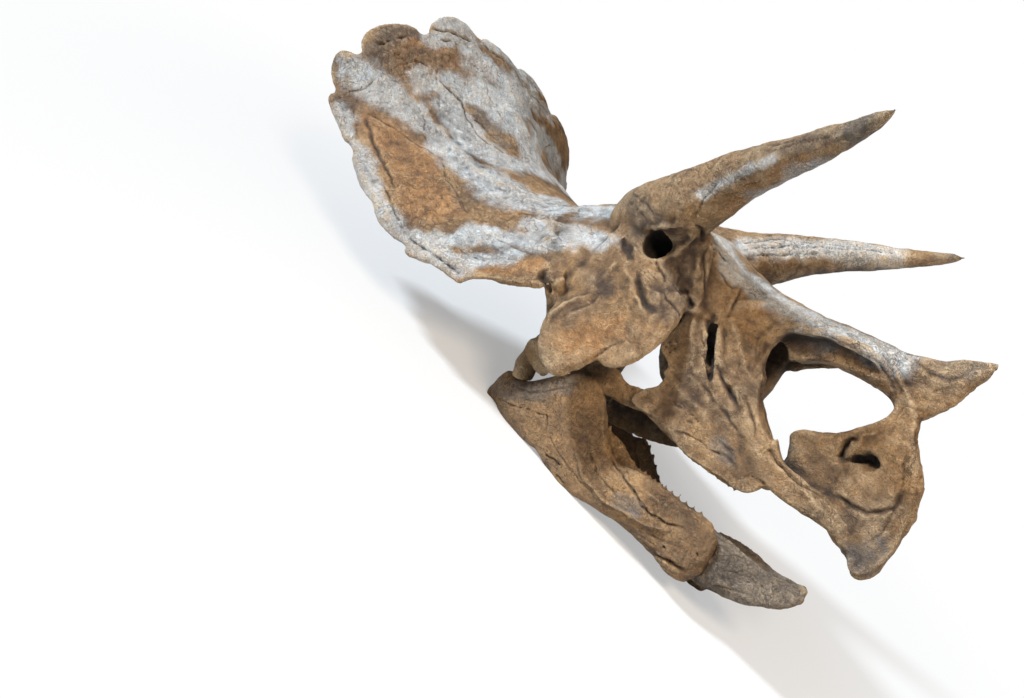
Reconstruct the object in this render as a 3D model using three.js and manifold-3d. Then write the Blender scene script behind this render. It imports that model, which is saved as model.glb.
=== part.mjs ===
// Fossil Triceratops skull with its lower jaws, standing on the rear of the jaws.
// Bones are described in the skull's own frame, in millimetres: X forward, Z up,
// "side" the distance from the midline, and the origin midway between the jaw joints.
// The finished skull is then pitched nose up and set down on its jaws.
import * as THREE from "three";
import { mergeVertices } from "three/addons/utils/BufferGeometryUtils.js";
import Module from "manifold-3d";

// Driving dimensions
const REST_PITCH = 21; // degrees that the nose points up when the skull rests on its jaws
const JAW_JOINT = { x: 183, y: -10.2, z: 201 }; // where the point between the jaw joints rests
const JOINT_GAP = 3; // clearance round the lower jaw bones
const FRILL_THICK = 28; // thickness of the frill sheet where it leaves the skull roof
const FRILL_RIM = 22; // thickness of the frill at its edge
const LOBE_OUT = 66; // how far the rear frill-edge bones stand out from the edge
const LOBE_OUT_MID = 46; // the one on the midline
const LOBE_OUT_FRONT = 34; // and the ones along the squamosal's lower edge
const LOBE_THICK = 15; // half thickness of a frill-edge bone
const LEFT_JAW_DROP = 60; // how much lower the front of the left jaw hangs
const LEFT_BANK_DROP = 90; // and the tooth row on it
const LEFT_JAW_WEAR = 30; // how much of its upper edge is worn away
const PREDENTARY_ROLL = 0.5; // lean of the front bone towards that side, as a slope
const HORN_SAG = 58; // how much lower the left brow horn runs at mid length
const ORBIT = { x: 188, side: 215, z: 488, wide: 46, deep: 95, high: 56 };
const LEFT_BAR_BACK = 60; // the bar behind the left nostril is narrower and set back
const TEETH = 8; // teeth in each row
const BONE = { color: 0x9a7a55, roughness: 0.85, metalness: 0 };
const JAW_BONE = { color: 0x94714c, roughness: 0.85, metalness: 0 };
const GREY_BONE = { color: 0x8b8073, roughness: 0.85, metalness: 0 };

const wasm = await Module();
wasm.setup();

// A closed mesh of points and triangles as a solid, turned so that its faces point out
function closed(points, faces) {
  const geometry = new THREE.BufferGeometry();
  geometry.setAttribute("position", new THREE.Float32BufferAttribute(points.flatMap((p) => p.toArray()), 3));
  geometry.setIndex(faces);
  const merged = mergeVertices(geometry, 0.001);
  const index = [...merged.index.array];
  const toSolid = (triangles) => new wasm.Manifold(new wasm.Mesh({
    numProp: 3,
    vertProperties: new Float32Array(merged.attributes.position.array),
    triVerts: new Uint32Array(triangles),
  }));
  const body = toSolid(index);
  if (body.volume() > 0) return body;
  const turned = [];
  for (let i = 0; i < index.length; i += 3) turned.push(index[i], index[i + 2], index[i + 1]);
  return toSolid(turned);
}

// A three.js geometry as a solid, each point moved by `move`
function solid(geometry, move = (p) => p) {
  const place = geometry.attributes.position;
  const points = [];
  for (let i = 0; i < place.count; i++) points.push(move(new THREE.Vector3().fromBufferAttribute(place, i)));
  const faces = geometry.index ? [...geometry.index.array] : points.map((_, i) => i);
  return closed(points, faces);
}

function union(solids) {
  return solids.reduce((sum, next) => sum.add(next));
}

// The same bone on the right, -1, and on the left, 1
function pair(make) {
  return make(-1).add(make(1));
}

// A closed skin over rings of points, each ring running the same way round
function skin(rings) {
  const count = rings[0].length;
  const centre = (ring) => ring.reduce((sum, p) => sum.add(p), new THREE.Vector3()).divideScalar(count);
  const points = [...rings.flat(), centre(rings[0]), centre(rings.at(-1))];
  const last = (rings.length - 1) * count;
  const faces = [];
  for (let j = 0; j < count; j++) {
    const next = (j + 1) % count;
    for (let at = 0; at < last; at += count) {
      faces.push(at + j, at + next, at + j + count, at + next, at + next + count, at + j + count);
    }
    faces.push(points.length - 2, next, j, points.length - 1, last + j, last + next);
  }
  return closed(points, faces);
}

// A bone of oval section through stations [x, side, z, half breadth along `flat`, half thickness].
// Its sections lie square to the bone, or all square to `across` where that is given.
function limb(side, stations, { sides = 8, steps = 1, flat = [0, 1, 0], across = null, grow = 0 } = {}) {
  const path = new THREE.CatmullRomCurve3(stations.map((s) => new THREE.Vector3(s[0], side * s[1], s[2])));
  const sizes = new THREE.CatmullRomCurve3(stations.map((s) => new THREE.Vector3(s[3], s[4], 0)));
  const broad = new THREE.Vector3(flat[0], side * flat[1], flat[2]);
  const total = (stations.length - 1) * steps;
  const rings = [];
  for (let i = 0; i <= total; i++) {
    const centre = path.getPoint(i / total);
    const along = across ? new THREE.Vector3(...across) : path.getTangent(i / total);
    const size = sizes.getPoint(i / total);
    const u = broad.clone().addScaledVector(along, -broad.dot(along)).normalize();
    const v = new THREE.Vector3().crossVectors(along, u);
    const ring = [];
    for (let j = 0; j < sides; j++) {
      const angle = (2 * Math.PI * j) / sides;
      ring.push(centre.clone()
        .addScaledVector(u, (size.x + grow) * Math.cos(angle))
        .addScaledVector(v, (size.y + grow) * Math.sin(angle)));
    }
    rings.push(ring);
  }
  return skin(rings);
}

// A plate cut to an outline of [x, z] points, from `near` to `far` beside the midline.
// `toe` draws it towards the midline by that much for each millimetre forward of `hinge`.
function plate(side, outline, near, far, { toe = 0, hinge = 0, bevel = 0 } = {}) {
  const shape = new THREE.Shape(outline.map(([x, z]) => new THREE.Vector2(x, z)));
  const geometry = new THREE.ExtrudeGeometry(shape, {
    depth: far - near - 2 * bevel,
    bevelEnabled: bevel > 0,
    bevelThickness: bevel,
    bevelSize: bevel,
    bevelOffset: -bevel,
    bevelSegments: 1,
  });
  return solid(geometry, (p) => new THREE.Vector3(p.x, side * (near + bevel + p.z - toe * (p.x - hinge)), p.y));
}

// An oval lump or hollow
function oval(side, [x, out, z], [halfX, halfSide, halfZ], detail = 10) {
  const ball = new THREE.SphereGeometry(1, detail, Math.round(detail * 0.7));
  return solid(ball, (p) => new THREE.Vector3(x + p.x * halfX, side * out + p.z * halfSide, z + p.y * halfZ));
}

// Lines over the top of the frill and skull roof, each from the brow back to the frill's edge,
// from the midline outwards to the free lower edge of the squamosal
const FRILL_LINES = [
  [[100, 0, 602], [-90, 0, 590], [-290, 0, 536], [-520, 0, 606], [-760, 0, 832], [-985, 0, 1018]],
  [[90, 80, 600], [-90, 90, 578], [-290, 110, 524], [-520, 130, 590], [-760, 165, 760], [-972, 200, 1002]],
  [[70, 150, 570], [-85, 180, 522], [-280, 215, 484], [-510, 250, 555], [-745, 300, 655], [-960, 384, 912]],
  [[50, 200, 515], [-80, 250, 462], [-270, 300, 432], [-500, 360, 478], [-730, 430, 575], [-975, 602, 741]],
  [[35, 240, 455], [-75, 300, 412], [-255, 360, 378], [-480, 440, 396], [-700, 520, 455], [-973, 646, 590]],
  [[20, 285, 400], [-75, 345, 362], [-240, 405, 328], [-440, 485, 330], [-620, 560, 370], [-799, 625, 425]],
  [[5, 325, 345], [-75, 385, 312], [-225, 440, 282], [-390, 515, 275], [-510, 570, 282], [-623, 606, 287]],
  [[-5, 362, 295], [-75, 420, 264], [-200, 470, 244], [-310, 528, 232], [-380, 556, 226], [-438, 581, 211]],
  [[-12, 392, 268], [-70, 436, 244], [-140, 472, 226], [-180, 490, 208], [-210, 502, 194], [-236, 514, 168]],
];
// How far forward and up the left rim is pressed at the end of each line
const LEFT_RIM_PUSH = [0, -12, 8, 38, 6, 0, 0, 0, 0];
// Ends of the frill-edge bones along that edge, counted in frill lines from the midline
const LOBE_ENDS = [-0.6, 0.6, 2, 3, 4, 5, 6, 7, 7.5];

function frillSurface() {
  const curve = (line, push) => new THREE.CatmullRomCurve3(line.map(([x, y, z], k) => {
    const moved = k === line.length - 1 ? push : 0;
    return new THREE.Vector3(x + moved, y, z + moved);
  }));
  const right = FRILL_LINES.map((line) => curve(line, 0));
  const left = FRILL_LINES.map((line, k) => curve(line, LEFT_RIM_PUSH[k]));
  const outer = FRILL_LINES.length - 1;
  return (back, out) => {
    const across = [];
    for (let j = -outer; j <= outer; j++) {
      const p = (j > 0 ? left : right)[Math.abs(j)].getPoint(back);
      across.push(new THREE.Vector3(p.x, Math.sign(j) * p.y, p.z));
    }
    return new THREE.CatmullRomCurve3(across).getPoint((out / outer + 1) / 2);
  };
}

function frill() {
  const surface = frillSurface();
  const rows = 10;
  const columns = 16;
  const outer = FRILL_LINES.length - 1;
  const nudge = 0.004;
  const top = [];
  const under = [];
  for (let i = 0; i <= rows; i++) {
    for (let j = 0; j <= columns; j++) {
      const back = i / rows;
      const out = outer * (2 * j / columns - 1);
      const p = surface(back, out);
      const alongBack = surface(Math.min(1, back + nudge), out).sub(surface(Math.max(0, back - nudge), out));
      const alongOut = surface(back, Math.min(outer, out + 0.1)).sub(surface(back, Math.max(-outer, out - 0.1)));
      const normal = alongOut.cross(alongBack).normalize();
      if (normal.z < 0) normal.negate();
      const thick = THREE.MathUtils.lerp(FRILL_THICK, FRILL_RIM, back);
      top.push(p);
      under.push(p.clone().addScaledVector(normal, -thick));
    }
  }
  const points = [...top, ...under];
  const half = top.length;
  const faces = [];
  const quad = (a, b, c, d) => faces.push(a, b, c, a, c, d);
  const id = (i, j) => i * (columns + 1) + j;
  for (let i = 0; i < rows; i++) {
    for (let j = 0; j < columns; j++) {
      quad(id(i, j), id(i, j + 1), id(i + 1, j + 1), id(i + 1, j));
      quad(half + id(i, j), half + id(i + 1, j), half + id(i + 1, j + 1), half + id(i, j + 1));
    }
    quad(id(i, 0), id(i + 1, 0), half + id(i + 1, 0), half + id(i, 0));
    quad(id(i, columns), half + id(i, columns), half + id(i + 1, columns), id(i + 1, columns));
  }
  for (let j = 0; j < columns; j++) {
    quad(id(0, j), half + id(0, j), half + id(0, j + 1), id(0, j + 1));
    quad(id(rows, j), id(rows, j + 1), half + id(rows, j + 1), half + id(rows, j));
  }
  return closed(points, faces);
}

// One bone of the frill's scalloped edge, from one place along the edge to another
function lobe(surface, from, to) {
  const rings = [];
  const steps = 3;
  const sides = 6;
  const inset = 0.06; // share of its breadth left free at each end
  const root = 14; // how far inside the frill's edge its middle lies
  const blunt = 0.42; // the smaller, the squarer its outline
  const outer = FRILL_LINES.length - 1;
  for (let i = 0; i <= steps; i++) {
    const at = THREE.MathUtils.lerp(from, to, THREE.MathUtils.lerp(inset, 1 - inset, i / steps));
    const swell = Math.max(inset, 1 - (2 * i / steps - 1) ** 2) ** blunt;
    const edge = surface(1, at);
    const outward = edge.clone().sub(surface(0.94, at)).normalize();
    const along = surface(1, Math.min(outer, at + 0.1)).sub(surface(1, Math.max(-outer, at - 0.1))).normalize();
    const normal = outward.clone().cross(along).normalize();
    if (normal.z < 0) normal.negate();
    const centre = edge.addScaledVector(outward, -root).addScaledVector(normal, -FRILL_RIM / 2);
    const front = THREE.MathUtils.smoothstep(Math.abs(at), 3, 6);
    const mid = 1 - THREE.MathUtils.smoothstep(Math.abs(at), 0.5, 0.9);
    const reach = LOBE_OUT + (LOBE_OUT_FRONT - LOBE_OUT) * front + (LOBE_OUT_MID - LOBE_OUT) * mid;
    const ring = [];
    for (let j = 0; j < sides; j++) {
      const angle = (2 * Math.PI * j) / sides;
      ring.push(centre.clone()
        .addScaledVector(outward, (reach + root) * swell * Math.cos(angle))
        .addScaledVector(normal, LOBE_THICK * (0.5 + 0.5 * swell) * Math.sin(angle)));
    }
    rings.push(ring);
  }
  return skin(rings);
}

function frillEdge() {
  const surface = frillSurface();
  const lobes = [lobe(surface, LOBE_ENDS[0], LOBE_ENDS[1])];
  for (let k = 1; k < LOBE_ENDS.length - 1; k++) {
    lobes.push(lobe(surface, LOBE_ENDS[k], LOBE_ENDS[k + 1]));
    lobes.push(lobe(surface, -LOBE_ENDS[k + 1], -LOBE_ENDS[k]));
  }
  return union(lobes);
}

// The brow horn; the left one sags a little, as the fossil was found
function browHorn(side) {
  const sag = side > 0 ? HORN_SAG : 0;
  return limb(side, [
    [10, 150, 516, 76, 70],
    [75, 182, 560 - 0.3 * sag, 92, 88],
    [160, 214, 585 - 0.7 * sag, 97, 100],
    [258, 262, 629 - 0.88 * sag, 89, 93],
    [390, 335, 712 - sag, 66, 64],
    [516, 412, 757 - 0.86 * sag, 49, 47],
    [641, 500, 797 - 0.63 * sag, 30, 28],
    [722, 568, 827 - 0.4 * sag, 18, 17],
    [754, 600, 841 - 0.3 * sag, 4, 4],
  ], { sides: 10 });
}

// Sections across the nose from the brow to the tip of the nose horn:
// [x, top, [side, z] down the outside, bottom]
const NOSE_SECTIONS = [
  [40, 600, [110, 588], [168, 540], [150, 470], [90, 400], 380],
  [130, 602, [130, 590], [188, 548], [170, 470], [100, 390], 370],
  [215, 594, [120, 585], [195, 535], [182, 450], [110, 350], 330],
  [284, 575, [76, 567], [165, 527], [186, 440], [120, 325], 310],
  [360, 536, [60, 527], [140, 480], [172, 390], [110, 305], 290],
  [457, 498, [48, 488], [112, 450], [146, 360], [90, 275], 268],
  [533, 484, [45, 476], [96, 450], [120, 385], [64, 290], 280],
  [590, 474, [43, 468], [88, 445], [108, 412], [52, 322], 318],
  [669, 468, [40, 462], [76, 447], [97, 422], [48, 358], 350],
  [744, 464, [32, 458], [62, 445], [86, 420], [44, 360], 350],
  [800, 459, [28, 453], [52, 440], [72, 412], [36, 350], 343],
  [850, 456, [22, 449], [42, 435], [56, 400], [30, 340], 330],
  [885, 462, [20, 455], [36, 437], [45, 390], [30, 322], 298],
  [918, 467, [18, 459], [34, 437], [40, 388], [26, 314], 298],
  [950, 481, [15, 472], [28, 447], [32, 405], [20, 336], 322],
  [984, 491, [12, 483], [21, 462], [22, 432], [12, 384], 373],
  [1010, 500, [8, 494], [13, 482], [13, 466], [7, 442], 437],
  [1028, 506, [3, 504], [5, 501], [5, 498], [3, 496], 494],
];

function nose() {
  return skin(NOSE_SECTIONS.map(([x, top, ...rest]) => {
    const bottom = rest.pop();
    const left = rest.map(([out, z]) => new THREE.Vector3(x, out, z));
    const right = rest.map(([out, z]) => new THREE.Vector3(x, -out, z)).reverse();
    return [new THREE.Vector3(x, 0, top), ...left, new THREE.Vector3(x, 0, bottom), ...right];
  }));
}

// The cheek, from behind the eye down to the flared point of the jugal
function cheek(side) {
  return limb(side, [
    [150, 190, 575, 118, 50],
    [160, 212, 490, 125, 48],
    [160, 238, 400, 146, 42],
    [168, 268, 310, 170, 34],
    [150, 306, 236, 160, 28],
    [114, 330, 196, 112, 27],
    [108, 345, 160, 108, 26],
    [110, 362, 110, 88, 28],
    [118, 372, 70, 58, 26],
    [128, 378, 42, 16, 12],
  ], { sides: 12, flat: [0.95, -0.31, 0] });
}

function eyeRim(side) {
  const ring = new THREE.TorusGeometry(1, 0.32, 5, 12);
  return solid(ring, (p) => new THREE.Vector3(
    ORBIT.x + p.x * (ORBIT.wide + 16),
    side * (ORBIT.side + 14 - 0.25 * p.x * ORBIT.wide + p.z * 60),
    ORBIT.z + p.y * (ORBIT.high + 16),
  ));
}

// The bar between the eye and the nose, down to the maxilla
function lacrimal(side) {
  return limb(side, [
    [258, 192, 548, 54, 32],
    [290, 192, 470, 46, 26],
    [310, 188, 410, 38, 24],
    [330, 176, 345, 30, 20],
  ], { flat: [1, -0.2, 0] });
}

function quadrate(side, grow = 0) {
  return limb(side, [
    [-130, 296, 400, 56, 24],
    [-72, 276, 300, 44, 20],
    [-44, 258, 190, 30, 18],
    [-46, 254, 110, 30, 18],
    [-66, 254, 55, 36, 23],
    [-82, 250, 5, 46, 29],
    [-82, 250, -50, 42, 26],
  ], { grow });
}

// The thin plate behind the right cheek, from the squamosal down to the jaw joint
function quadratojugal() {
  return limb(-1, [
    [-28, 362, 290, 46, 22],
    [-10, 332, 228, 34, 20],
    [-2, 308, 178, 40, 20],
    [4, 292, 128, 44, 20],
    [-4, 280, 85, 48, 20],
    [-34, 270, 40, 62, 22],
    [-50, 262, 20, 56, 22],
  ], { flat: [1, 0, 0] });
}

function braincase() {
  const box = limb(1, [
    [90, 0, 490, 118, 100],
    [-20, 0, 462, 112, 100],
    [-110, 0, 420, 92, 88],
    [-165, 0, 350, 52, 50],
    [-205, 0, 318, 44, 42],
    [-236, 0, 300, 22, 20],
  ]);
  const wings = pair((side) => limb(side, [
    [-100, 40, 430, 70, 24],
    [-125, 160, 410, 64, 18],
    [-138, 260, 395, 60, 18],
    [-140, 330, 400, 48, 22],
  ], { flat: [0, 0, 1] }));
  return box.add(wings);
}

// The thin palate bones between the braincase, the quadrates and the upper jaws
function palate() {
  const roof = limb(1, [
    [320, 0, 112, 56, 18],
    [430, 0, 96, 92, 14],
    [550, 0, 62, 76, 14],
    [650, 0, 22, 60, 18],
    [740, 0, 6, 58, 22],
    [830, 0, -4, 44, 24],
  ]);
  const keel = limb(1, [
    [352, 0, 100, 34, 14],
    [318, 0, 190, 36, 12],
    [280, 0, 290, 42, 16],
    [250, 0, 360, 46, 24],
  ], { flat: [1, 0, 0] });
  const wings = pair((side) => limb(side, [
    [205, 30, 325, 52, 16],
    [120, 90, 292, 52, 13],
    [30, 180, 262, 52, 13],
    [-60, 268, 240, 50, 16],
  ], { flat: [0, 0, 1] }));
  const brace = limb(-1, [
    [10, 216, 62, 30, 12],
    [120, 166, 68, 56, 12],
    [210, 134, 42, 34, 14],
    [300, 128, 52, 34, 20],
  ], { flat: [0, 0, 1] });
  return union([roof, keel, wings, brace]);
}

// The rear of the left upper jaw, pressed down inside the lower jaw
function flange() {
  return limb(1, [
    [20, 112, -84, 36, 14],
    [120, 106, -80, 36, 14],
    [230, 104, -66, 34, 14],
    [330, 106, -42, 34, 16],
    [420, 112, 4, 34, 20],
  ], { flat: [0, 0, 1] });
}

// The side of the upper jaw, with its tall rising process
const MAXILLA_OUTLINE = [
  [272, 56], [278, 38], [404, 20], [424, -4], [464, -26], [520, -36], [590, -44], [650, -52], [684, -16],
  [655, 28], [583, 106], [515, 178], [462, 252], [425, 322], [372, 362], [338, 364], [322, 350], [310, 290],
  [290, 246], [292, 214], [328, 186], [334, 150], [322, 114], [294, 92],
];

function maxilla(side) {
  const wall = plate(side, MAXILLA_OUTLINE, 138, 186, { toe: 0.19, hinge: 280, bevel: 10 });
  const ledge = limb(side, [
    [282, 134, 62, 36, 34],
    [400, 122, 36, 42, 44],
    [500, 108, 6, 40, 42],
    [600, 88, -14, 36, 36],
    [660, 74, -22, 28, 24],
  ]);
  return wall.add(ledge);
}

// The upper wall of the left nostril
function leftNostrilWall() {
  return limb(1, [
    [520, 98, 312, 34, 12],
    [575, 96, 330, 34, 12],
    [630, 92, 356, 30, 12],
    [690, 80, 376, 22, 12],
    [750, 64, 390, 16, 12],
  ], { flat: [0, 0, 1] });
}

// The slanting bar behind the nostril, running on below it to the beak
function nostrilBar(side) {
  const back = side > 0 ? LEFT_BAR_BACK : 0;
  return limb(side, [
    [452, 118, 435, 62, 28],
    [492, 106, 338, 66, 26],
    [520 - 0.1 * back, 102, 255, 62 - 0.4 * back, 26],
    [575 - 1.3 * back, 98, 172, 56 - 0.4 * back, 26],
    [628 - 1.8 * back, 95, 98 - 0.15 * back, 48 - 0.4 * back, 28],
    [680 - 0.9 * back, 88, 40 - 0.35 * back, 44, 28],
    [740, 74, 16, 42, 28],
    [805, 58, 4, 38, 28],
    [870, 40, -10, 36, 26],
    [925, 20, -44, 28, 18],
  ], { flat: [0.6, -0.55, 0.75] });
}

const BEAK_OUTLINE = [
  [912, 330], [934, 300], [940, 272], [960, 229], [981, 190], [998, 138], [1009, 80], [1014, 8], [1002, -60],
  [974, -106], [944, -110], [920, -72], [884, -36], [800, -30], [730, -24], [690, 20], [690, 84], [684, 110],
  [674, 138], [686, 160], [702, 168], [738, 178], [778, 196], [808, 222], [845, 260], [868, 292], [876, 330],
];

// The flat plate of the premaxillae and the swollen beak bone in front of it
function beak() {
  const septum = plate(1, BEAK_OUTLINE, -34, 34, { bevel: 14 });
  const tip = limb(1, [
    [908, 0, 262, 40, 36],
    [904, 0, 205, 76, 42],
    [908, 0, 140, 103, 47],
    [911, 0, 70, 112, 50],
    [926, 0, 0, 98, 46],
    [954, 0, -58, 58, 34],
    [960, 0, -98, 34, 20],
    [952, 0, -126, 12, 8],
  ], { flat: [1, 0, 0], sides: 12 });
  return septum.add(tip);
}

// A row of leaf-shaped teeth along a line of [x, side, z] points, pointing down, -1, or up, 1
function teeth(side, line, way) {
  const row = new THREE.CatmullRomCurve3(line.map((p) => new THREE.Vector3(...p)));
  return union(Array.from({ length: TEETH }, (_, k) => {
    const { x, y, z } = row.getPoint((k + 0.5) / TEETH);
    return limb(side, [
      [x, y, z - way * 14, 10, 9],
      [x + 1, y, z + way * 8, 8, 7],
      [x + 2, y, z + way * 18, 3, 3],
    ], { sides: 4, flat: [1, 0, 0] });
  }));
}

function cranium() {
  const bones = union([
    frill(), frillEdge(), pair(browHorn), nose(), pair(cheek), pair(eyeRim), pair(lacrimal), pair(quadrate),
    quadratojugal(), flange(), leftNostrilWall(),
    braincase(), palate(), pair(maxilla), pair(nostrilBar), beak(),
    pair((side) => teeth(side, [[440, 128, -4], [500, 118, -22], [560, 106, -34], [630, 92, -44]], -1)),
  ]);
  const eyes = pair((side) => {
    return oval(side, [ORBIT.x, ORBIT.side + 20, ORBIT.z], [ORBIT.wide, ORBIT.deep, ORBIT.high], 14);
  });
  const templeHoles = pair((side) => oval(side, [-28, 372, 276], [26, 60, 20], 8));
  const roofHoles = pair((side) => oval(side, [-150, 150, 560], [62, 34, 42], 10));
  const noseHollow = oval(1, [520, 0, 300], [104, 72, 96], 12);
  const nostrilFossa = pair((side) => plate(side, [
    [560, 262], [545, 310], [552, 350], [572, 384], [622, 402], [668, 412], [716, 410], [762, 404], [805, 392],
    [838, 372], [862, 344], [868, 314], [842, 262], [800, 222], [740, 200], [650, 190],
  ], side < 0 ? 50 : 112, 140));
  const nostril = plate(1, [
    [566, 262], [584, 300], [640, 332], [700, 349], [750, 350], [798, 341], [842, 331], [862, 312], [842, 266],
    [800, 224], [770, 200], [700, 176], [664, 150], [660, 110], [628, 130], [590, 180],
  ], -150, 150);
  const slits = pair((side) => limb(side, [[404, 168, 335, 9, 34], [424, 164, 262, 12, 36], [452, 158, 190, 8, 30]],
    { sides: 6, flat: [1, 0, 0] }));
  const beakHollows = pair((side) => oval(side, [862, 62, 166], [46, 44, 30], 10));
  return [eyes, templeHoles, roofHoles, noseHollow, nostrilFossa, nostril, slits, beakHollows]
    .reduce((left, cut) => left.subtract(cut), bones);
}

// The front of the left jaw hangs lower than the right one by up to `drop`
function hang(side, stations, drop = LEFT_JAW_DROP) {
  if (side < 0) return stations;
  return stations.map(([x, out, z, ...size]) => {
    return [x, out, z - drop * THREE.MathUtils.smoothstep(x, 80, 320), ...size];
  });
}

// The upper edge of the left jaw is worn down
function wear(side, stations) {
  if (side < 0) return stations;
  return stations.map(([x, out, z, broad, tall]) => {
    const worn = LEFT_JAW_WEAR * THREE.MathUtils.smoothstep(x, 260, 340);
    return [x, out, z - worn / 2, broad, tall - worn / 2];
  });
}

// The jaw's rising process; the left one is broken down to a low edge
const RISING_PROCESS = [
  [68, 226, -100, 46, 134],
  [120, 214, -106, 44, 164],
  [165, 202, -124, 42, 166],
  [195, 196, -144, 40, 152],
  [225, 190, -172, 38, 128],
  [268, 182, -208, 38, 94],
];
const BROKEN_PROCESS = [
  [68, 226, -164, 46, 70],
  [120, 214, -202, 44, 68],
  [165, 202, -200, 42, 90],
  [195, 196, -198, 40, 98],
  [225, 190, -228, 38, 72],
  [268, 182, -230, 38, 72],
];

// One lower jaw: the long dentary with its rising process, the joint end and the tooth row inside it
function jaw(side, grow = 0) {
  const body = limb(side, hang(side, wear(side, [
    [-180, 248, -136, 18, 20],
    [-140, 246, -108, 36, 58],
    [-100, 244, -119, 44, 69],
    [-50, 242, -127, 48, 83],
    [10, 236, -114, 48, 110],
    ...(side < 0 ? RISING_PROCESS : BROKEN_PROCESS),
    [316, 170, -224, 42, 80],
    [368, 154, -224, 44, 84],
    [435, 134, -235, 44, 88],
    [497, 116, -251, 42, 91],
    [556, 100, -267, 40, 104],
    [602, 88, -270, 32, 98],
    [634, 78, -264, 20, 54],
  ])), { grow, sides: 10, across: [1, 0, 0] });
  const toothBank = limb(side, hang(side, [
    [190, 160, -96, 18, 34],
    [280, 142, -130, 20, 38],
    [355, 128, -176, 20, 36],
    [440, 112, -186, 20, 36],
    [520, 96, -198, 18, 36],
    [590, 80, -202, 14, 28],
  ], LEFT_BANK_DROP), { grow, across: [1, 0, 0] });
  return body.add(toothBank);
}

function lowerJaw(side) {
  const row = hang(side, [[215, 158, -78], [355, 128, -156], [450, 110, -164], [575, 84, -184]], LEFT_BANK_DROP);
  const tips = teeth(side, row, 1);
  return jaw(side).add(tips).subtract(quadrate(side, JOINT_GAP));
}

// The toothless front bone of the lower jaw, a scoop that clasps both dentaries
function predentary() {
  const roll = [0, 1, -PREDENTARY_ROLL];
  const scoop = limb(1, [
    [576, 0, -272, 80, 100],
    [640, 0, -278, 74, 97],
    [706, 0, -282, 58, 80],
    [774, 0, -279, 40, 60],
    [822, 0, -264, 30, 46],
    [858, 0, -240, 16, 28],
    [872, 0, -223, 5, 8],
  ], { sides: 12, flat: roll });
  const trough = limb(1, [
    [550, 30, -170, 92, 60],
    [680, 12, -192, 54, 38],
    [770, 2, -220, 22, 18],
    [840, 0, -222, 6, 6],
  ], { flat: roll });
  return scoop.subtract(trough).subtract(jaw(-1, JOINT_GAP)).subtract(jaw(1, JOINT_GAP));
}

// A solid's surface in millimetres, in the skull's own frame
function surfaceOf(body) {
  const mesh = body.getMesh();
  const geometry = new THREE.BufferGeometry();
  geometry.setAttribute("position", new THREE.BufferAttribute(new Float32Array(mesh.vertProperties), 3));
  geometry.setIndex([...mesh.triVerts]);
  return geometry;
}

// Pitch the skull nose up and set the jaw joint where it rests
const skull = new THREE.Group();
skull.rotation.y = -THREE.MathUtils.degToRad(REST_PITCH);
skull.position.set(JAW_JOINT.x, JAW_JOINT.y, JAW_JOINT.z);
skull.updateMatrixWorld();

// The jaws are worn flat at floor level
const belowFloor = new THREE.BoxGeometry(4000, 4000, 1000).translate(0, 0, -500);
belowFloor.applyMatrix4(skull.matrixWorld.clone().invert());

const pieces = [
  ["cranium", cranium(), BONE],
  ["right_lower_jaw", lowerJaw(-1), JAW_BONE],
  ["left_lower_jaw", lowerJaw(1), JAW_BONE],
  ["predentary", predentary(), GREY_BONE],
];
for (const [name, body, look] of pieces) {
  const geometry = surfaceOf(body.subtract(solid(belowFloor)));
  geometry.computeVertexNormals();
  const mesh = new THREE.Mesh(geometry, new THREE.MeshStandardMaterial(look));
  mesh.name = name;
  skull.add(mesh);
}

export default skull;
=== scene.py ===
"""Fossil triceratops skull with its lower jaws, resting on the rear of the jaws.

Bones are described in the skull's own frame, in millimetres: X forward, Z up, "side" the
distance from the midline, and the origin midway between the jaw joints. Each piece is lofted
from its bones, fused, and carved vertex by vertex; then it is pitched nose up and set down.
"""
import bpy
import bmesh
import numpy as np
from mathutils import Matrix, Vector
from mathutils.bvhtree import BVHTree


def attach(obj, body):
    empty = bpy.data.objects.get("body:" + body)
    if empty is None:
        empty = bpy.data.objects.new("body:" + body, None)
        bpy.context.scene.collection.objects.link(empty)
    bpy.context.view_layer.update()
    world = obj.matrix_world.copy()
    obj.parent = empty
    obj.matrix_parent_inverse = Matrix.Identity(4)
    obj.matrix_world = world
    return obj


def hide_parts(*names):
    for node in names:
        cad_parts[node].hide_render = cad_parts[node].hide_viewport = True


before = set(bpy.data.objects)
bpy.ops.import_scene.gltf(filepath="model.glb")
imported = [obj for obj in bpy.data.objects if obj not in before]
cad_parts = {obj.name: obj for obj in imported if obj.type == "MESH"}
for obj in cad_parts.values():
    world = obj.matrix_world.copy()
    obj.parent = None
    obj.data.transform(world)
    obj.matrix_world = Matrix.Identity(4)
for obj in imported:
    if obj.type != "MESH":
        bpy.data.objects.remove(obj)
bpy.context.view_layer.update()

# Driving dimensions, as in the solids
REST_PITCH = 21.0
JAW_JOINT = (183.0, -10.2, 201.0)
JOINT_GAP = 3.0
FRILL_THICK = 28.0
FRILL_RIM = 22.0
LOBE_OUT = 66.0
LOBE_OUT_MID = 46.0
LOBE_OUT_FRONT = 34.0
LOBE_THICK = 15.0
LEFT_JAW_DROP = 60.0
LEFT_BANK_DROP = 90.0
LEFT_JAW_WEAR = 30.0
PREDENTARY_ROLL = 0.5
HORN_SAG = 58.0
ORBIT = dict(x=188, side=215, z=488, wide=46, deep=95, high=56)
ORBIT_SHARE = 0.82  # its edge is overgrown with rough bone
LEFT_BAR_BACK = 60.0

# Fineness of the fused surfaces, and the most triangles of each piece
CRANIUM_GRAIN = 5.0
JAW_GRAIN = 3.6
CRANIUM_TRIANGLES = 190000
JAW_TRIANGLES = 60000

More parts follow.
